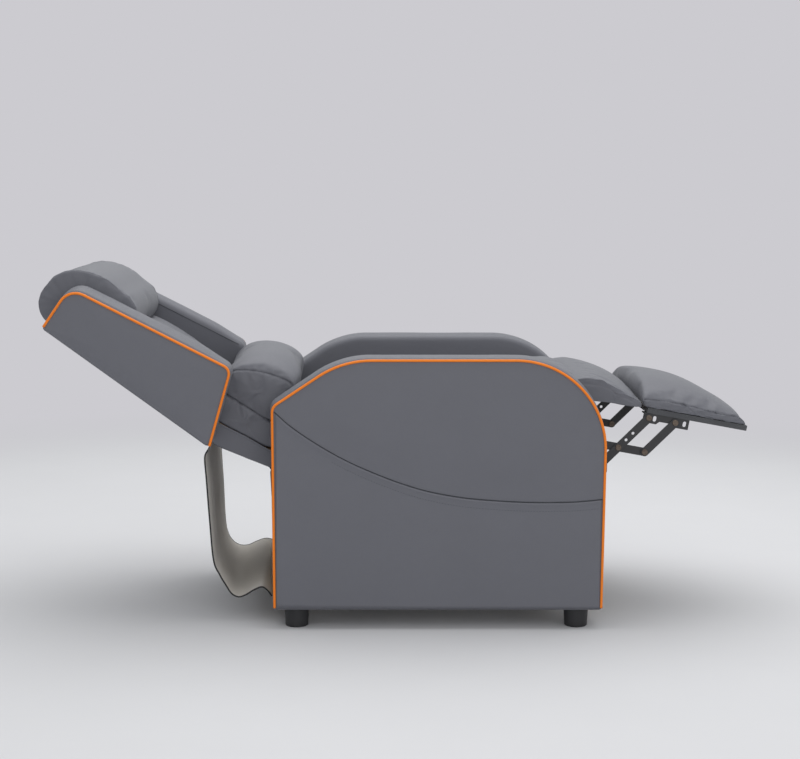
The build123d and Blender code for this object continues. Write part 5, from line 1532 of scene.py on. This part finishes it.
    def flap(self) -> None:
        """Rear flap that hangs from the back to the base."""
        near = [
            (-433.0, 402.0), (-440.0, 384.0), (-437.0, 333.0), (-431.0, 240.0), (-423.0, 146.0),
            (-409.0, 111.0), (-395.0, 87.0), (-382.0, 67.0), (-366.0, 58.5), (-349.0, 63.0),
            (-331.0, 74.0), (-311.0, 82.0), (-298.0, 74.0), (-287.0, 60.0),
        ]
        far = [
            (-433.0, 402.0), (-440.0, 384.0), (-438.0, 320.0), (-433.0, 240.0), (-428.0, 136.0),
            (-421.0, 100.0), (-408.0, 79.0), (-390.0, 68.0), (-368.0, 68.0), (-348.0, 77.0),
            (-325.0, 85.0), (-308.0, 83.0), (-297.0, 74.0), (-287.0, 60.0),
        ]
        rows, columns, width = 110, 66, 524.0
        first = paced(smooth_run(near), rows, False)
        second = paced(smooth_run(far), rows, False)
        places = []
        for i in range(columns):
            share = i / (columns - 1)
            line = first + (second - first) * float(smooth(share, 0.0, 1.0))
            across = -width / 2 + width * share
            sway = np.sin(np.linspace(0, math.pi, rows))[:, None]
            bend = 2.2 * math.sin(share * 9.0 + 0.6) + 1.2 * math.sin(share * 23.0)
            line = line + np.array([[bend, 0.0]]) * sway
            places.append(GROUND.place(line, across))
        grid = np.array(places)
        piece = netted("rear_flap_cloth", grid)
        thick = thickened(piece, 1.6)
        thick.material_offset = 1
        thick.material_offset_rim = 2
        for material in (self.finishes.made[Slot.FLAP], self.finishes.lining, self.finishes.hem):
            piece.data.materials.append(material)
        baked(piece)
        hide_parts("rear_flap")
        length = run_length(first)
        start, end = (-0.37, 0.0, 0.08), (-0.436, 0.0, 0.39)
        hems = [tube("hem", grid[edge], 1.9 * MM, 8) for edge in (0, columns - 1)]
        hem = joined("rear_flap_hem", hems)
        hem.data.materials.append(self.finishes.hem)
        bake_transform(piece, "base", "backrest", start, end)
        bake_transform(hem, "base", "backrest", start, end)

    def apron(self) -> None:
        """Dust cloth between the seat and the bottom of the back."""
        def back_place(up: float, out: float) -> Point:
            """Place in the side view from a height up the back and a distance out of it."""
            return (
                BACK.origin[0] + up * BACK.along[0] + out * BACK.out[0],
                BACK.origin[1] + up * BACK.along[1] + out * BACK.out[1],
            )
        corners = [
            (-95.5, 478.0), (-118.0, 402.0), (-205.0, 382.0),
            back_place(110.5, 60.0), back_place(110.5, 96.0),
        ]
        columns, rows, width = 40, 60, 444.0
        line = paced(rounded(corners, (24.0, 24.0, 12.0), False), rows, False)
        grid = np.array([
            GROUND.place(line, -width / 2 + width * i / (columns - 1)) for i in range(columns)
        ])
        sag = np.sin(np.linspace(0, math.pi, rows))
        drift = wander(grid.reshape(-1, 3), 0.07, 3.0).reshape(columns, rows)
        grid[:, :, 2] -= (drift * 1.4 + 0.6) * sag[None] * MM
        piece = netted("seat_apron_cloth", grid)
        thickened(piece, 1.2)
        baked(piece)
        self.finishes.dress(piece, Slot.APRON)
        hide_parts("seat_apron")
        run_length(line) * MM
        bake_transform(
            piece, "seat", "backrest", (-0.11, 0.0, 0.43), (-0.25, 0.0, 0.385)
        )

    def boarded(
        self, name: str, plane: SidePlane, outline: Sequence[Point], low: float, high: float,
        side: int, edge: float = 1.4,
    ) -> bpy.types.Object:
        """Thin leather covered sheet in a side plane.

        Args:
            name: Name of the piece.
            plane: Plane of the outline.
            outline: Corners of the sheet, in millimetres.
            low: Distance of its hidden face from the middle of the chair.
            high: Distance of its outer face.
            side: -1 for the near side and 1 for the far one.
            edge: Radius of its rolled edge.

        Returns:
            The sheet.
        """
        ring = paced(outline, 240, True)
        ring = eased(ring, 2)
        out = facing(ring)
        centre = ring.mean(axis=0)
        rings = [(centre + (ring - centre) * share, low) for share in (0.1, 0.5, 0.9)]
        rings.append((ring - out * 0.3, low))
        for i in range(5):
            turn = math.pi / 2 * i / 4
            rings.append((
                ring - out * edge * (1 - math.cos(turn)), high - edge * (1 - math.sin(turn))
            ))
        inner = rings[-1][0]
        for share in (0.93, 0.8, 0.6, 0.4, 0.2, 0.06):
            rings.append((centre + (inner - centre) * share, high + 0.5 * (1 - share)))
        piece = skinned(name, [plane.place(flat, side * across) for flat, across in rings])
        self.finishes.dress(piece, Slot.LEATHER)
        return piece

    def back_sides(self) -> None:
        """Leather covered lower sides of the back, with a sewn edge above."""
        outline = [
            (264.0, 30.0), (242.0, 33.0), (174.0, 44.0), (116.0, 50.0), (78.0, 52.0),
            (72.0, 40.0), (73.0, 23.0), (91.0, 17.5), (145.0, 3.0), (219.0, -13.0), (264.0, -13.0),
        ]
        for name, side in (("near", -1), ("far", 1)):
            piece = self.boarded(f"back_side_{name}", BACK, outline, 236.8, 239.2, side)
            self.keep(piece, "backrest")
            row = BACK.place(
                np.array([(240.0, 29.0), (174.0, 40.0), (116.0, 46.0), (82.0, 48.0)]), side * 239.4
            )
            self.thread(f"back_side_{name}_stitches", piece, row, "backrest", radius=0.36)

    def bridge_sides(self) -> None:
        """Short leather skirts that close the sides of the front section."""
        top = np.array([
            (428.0, 557.0), (447.0, 559.0), (470.0, 556.0), (486.0, 550.0), (510.0, 538.0),
            (535.0, 520.0), (564.0, 506.0),
        ])
        outline = [
            *map(tuple, top), (566.0, 498.0), (527.0, 502.5), (492.0, 508.5), (458.0, 512.0),
            (430.0, 520.0),
        ]
        for name, side in (("near", -1), ("far", 1)):
            piece = self.boarded(f"bridge_side_{name}", GROUND, outline, 233.0, 236.6, side)
            places = positions(piece)
            line = np.interp(places[:, 0] / MM, top[:, 0], top[:, 1])
            places[:, 1] -= side * 3.4 * smooth(places[:, 2] / MM, line - 9, line - 1) * MM
            put(piece, places)
            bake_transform(piece, "seat", "bridge", (0.446, 0.0, 0.54), (0.500, 0.0, 0.53))
            self.pieces[piece.name] = piece

    def hardware(self) -> None:
        """Gives every CAD node that shows the finish of its slot."""
        slots = {part["node"]: part["material_slot"] for part in frame["record"]["subparts"]}
        for name, node in frame["nodes"].items():
            material = self.finishes.made[Slot(slots.get(name, "black_steel"))]
            if not node.material_slots:
                node.data.materials.append(material)
            for place in node.material_slots:
                place.material = material

    def build(self) -> None:
        """Builds every piece in order."""
        self.hardware()
        self.arms()
        self.wings()
        self.pillow()
        self.back_pads()
        self.lumbar()
        self.seat()
        self.bridge()
        self.bridge_sides()
        self.back_sides()
        self.footrest()
        self.flap()
        self.apron()


def smooth_run(points: Sequence[Point]) -> list[Point]:
    """Curve that passes smoothly through a run of points."""
    run = np.asarray(points, float)
    run = np.vstack([2 * run[0] - run[1], run, 2 * run[-1] - run[-2]])
    curve: list[Point] = []
    for i in range(1, len(run) - 2):
        a, b, c, d = run[i - 1: i + 3]
        for k in range(12):
            t = k / 12
            place = 0.5 * (
                2 * b + (c - a) * t + (2 * a - 5 * b + 4 * c - d) * t**2
                + (3 * b - a - 3 * c + d) * t**3
            )
            curve.append(tuple(place))
    curve.append(tuple(run[-2]))
    return curve


# Surroundings

@dataclass
class Studio:
    """Floor, light and camera."""

    floor_colour: Colour = screen(214, 214, 216)
    backdrop: Colour = screen(204, 203, 208)
    radius: float = 6.0

    def floor(self) -> None:
        """Round pale floor that fades into the backdrop."""
        sides = 96
        turns = np.linspace(0, math.tau, sides, endpoint=False)
        rings = [
            np.stack([np.cos(turns) * r, np.sin(turns) * r, np.zeros(sides)], axis=1)
            for r in np.linspace(0.3, self.radius, 12)
        ]
        places = np.vstack(rings + [np.zeros((1, 3))])
        faces: list[tuple[int, ...]] = []
        for i in range(len(rings) - 1):
            faces += band(i * sides, (i + 1) * sides, sides)
        faces += [(j, (j + 1) % sides, len(places) - 1) for j in range(sides)]
        piece = made("floor", places, faces)
        bench = Bench("floor")
        here = bench.place()
        mottle = bench.cloud(here, 5.0, 5.0, 0.65)
        dark = tuple(c * 0.965 for c in self.floor_colour)
        surface = bench.out("ShaderNodeBsdfPrincipled", "BSDF", {}, {
            "Base Color": bench.blend(mottle, dark, self.floor_colour),
            "Roughness": 0.85 + mottle * 0.1,
        })
        glow = bench.out(
            "ShaderNodeEmission", "Emission", {}, {"Color": (*self.backdrop, 1.0)}
        )
        away = bench.out("ShaderNodeVectorMath", "Value", {"operation": "LENGTH"}, {0: here})
        mixed = bench.out("ShaderNodeMixShader", 0, {}, {
            0: away.step(2.2, 3.6), 1: surface, 2: glow
        })
        bench.add("ShaderNodeOutputMaterial", {}, {"Surface": mixed})
        piece.data.materials.append(bench.material)

    def air(self) -> None:
        """Pale backdrop for the camera and soft light for the rest."""
        world = bpy.data.worlds.new("studio")
        bpy.context.scene.world = world
        world.use_nodes = True
        tree = world.node_tree
        tree.nodes.clear()
        path = tree.nodes.new("ShaderNodeLightPath")
        seen = tree.nodes.new("ShaderNodeMath")
        seen.operation = "MAXIMUM"
        tree.links.new(path.outputs["Is Camera Ray"], seen.inputs[0])
        tree.links.new(path.outputs["Is Transmission Ray"], seen.inputs[1])
        shown = tree.nodes.new("ShaderNodeBackground")
        shown.inputs["Color"].default_value = (*self.backdrop, 1.0)
        light = tree.nodes.new("ShaderNodeBackground")
        light.inputs["Color"].default_value = (0.97, 0.985, 1.0, 1.0)
        light.inputs["Strength"].default_value = 0.66
        mix = tree.nodes.new("ShaderNodeMixShader")
        tree.links.new(seen.outputs[0], mix.inputs[0])
        tree.links.new(light.outputs[0], mix.inputs[1])
        tree.links.new(shown.outputs[0], mix.inputs[2])
        out = tree.nodes.new("ShaderNodeOutputWorld")
        tree.links.new(mix.outputs[0], out.inputs["Surface"])

    def lamp(
        self, name: str, place: Colour, aim: Colour, size: float, power: float
    ) -> None:
        """Adds a square soft light that points at a place."""
        data = bpy.data.lights.new(name, "AREA")
        data.shape = "SQUARE"
        data.size = size
        data.energy = power
        lamp = bpy.data.objects.new(name, data)
        lamp.location = place
        lamp.rotation_euler = (Vector(aim) - Vector(place)).to_track_quat("-Z", "Y").to_euler()
        bpy.context.scene.collection.objects.link(lamp)

    def camera(self) -> None:
        """Camera at the photograph's place."""
        width, focal, shift, sensor = 800.0, 1683.0, 62.0, 36.0
        data = bpy.data.cameras.new("camera")
        data.sensor_width = sensor
        data.lens = focal / width * sensor
        data.shift_x = shift / width
        data.clip_end = 60.0
        camera = bpy.data.objects.new("camera", data)
        camera.location = (-0.134, -4.080, 1.002)
        camera.rotation_euler = (math.radians(90.0 - 6.525), 0.0, 0.0)
        bpy.context.scene.collection.objects.link(camera)
        bpy.context.scene.camera = camera

    def build(self) -> None:
        """Sets up the studio."""
        self.floor()
        self.air()
        self.lamp("overhead", (0.2, 0.5, 3.0), (0.0, 0.0, 0.4), 3.6, 66.0)
        self.lamp("front", (0.6, -4.2, 2.2), (0.0, 0.0, 0.4), 3.0, 36.0)
        bpy.context.scene.view_settings.view_transform = "Standard"
        self.camera()


def main() -> None:
    """Builds the studio and the chair."""
    logging.basicConfig(level=logging.INFO, format="%(message)s")
    Studio().build()
    finishes = Finishes()
    finishes.build()
    Chair(finishes).build()


if __name__ == "__main__":
    main()
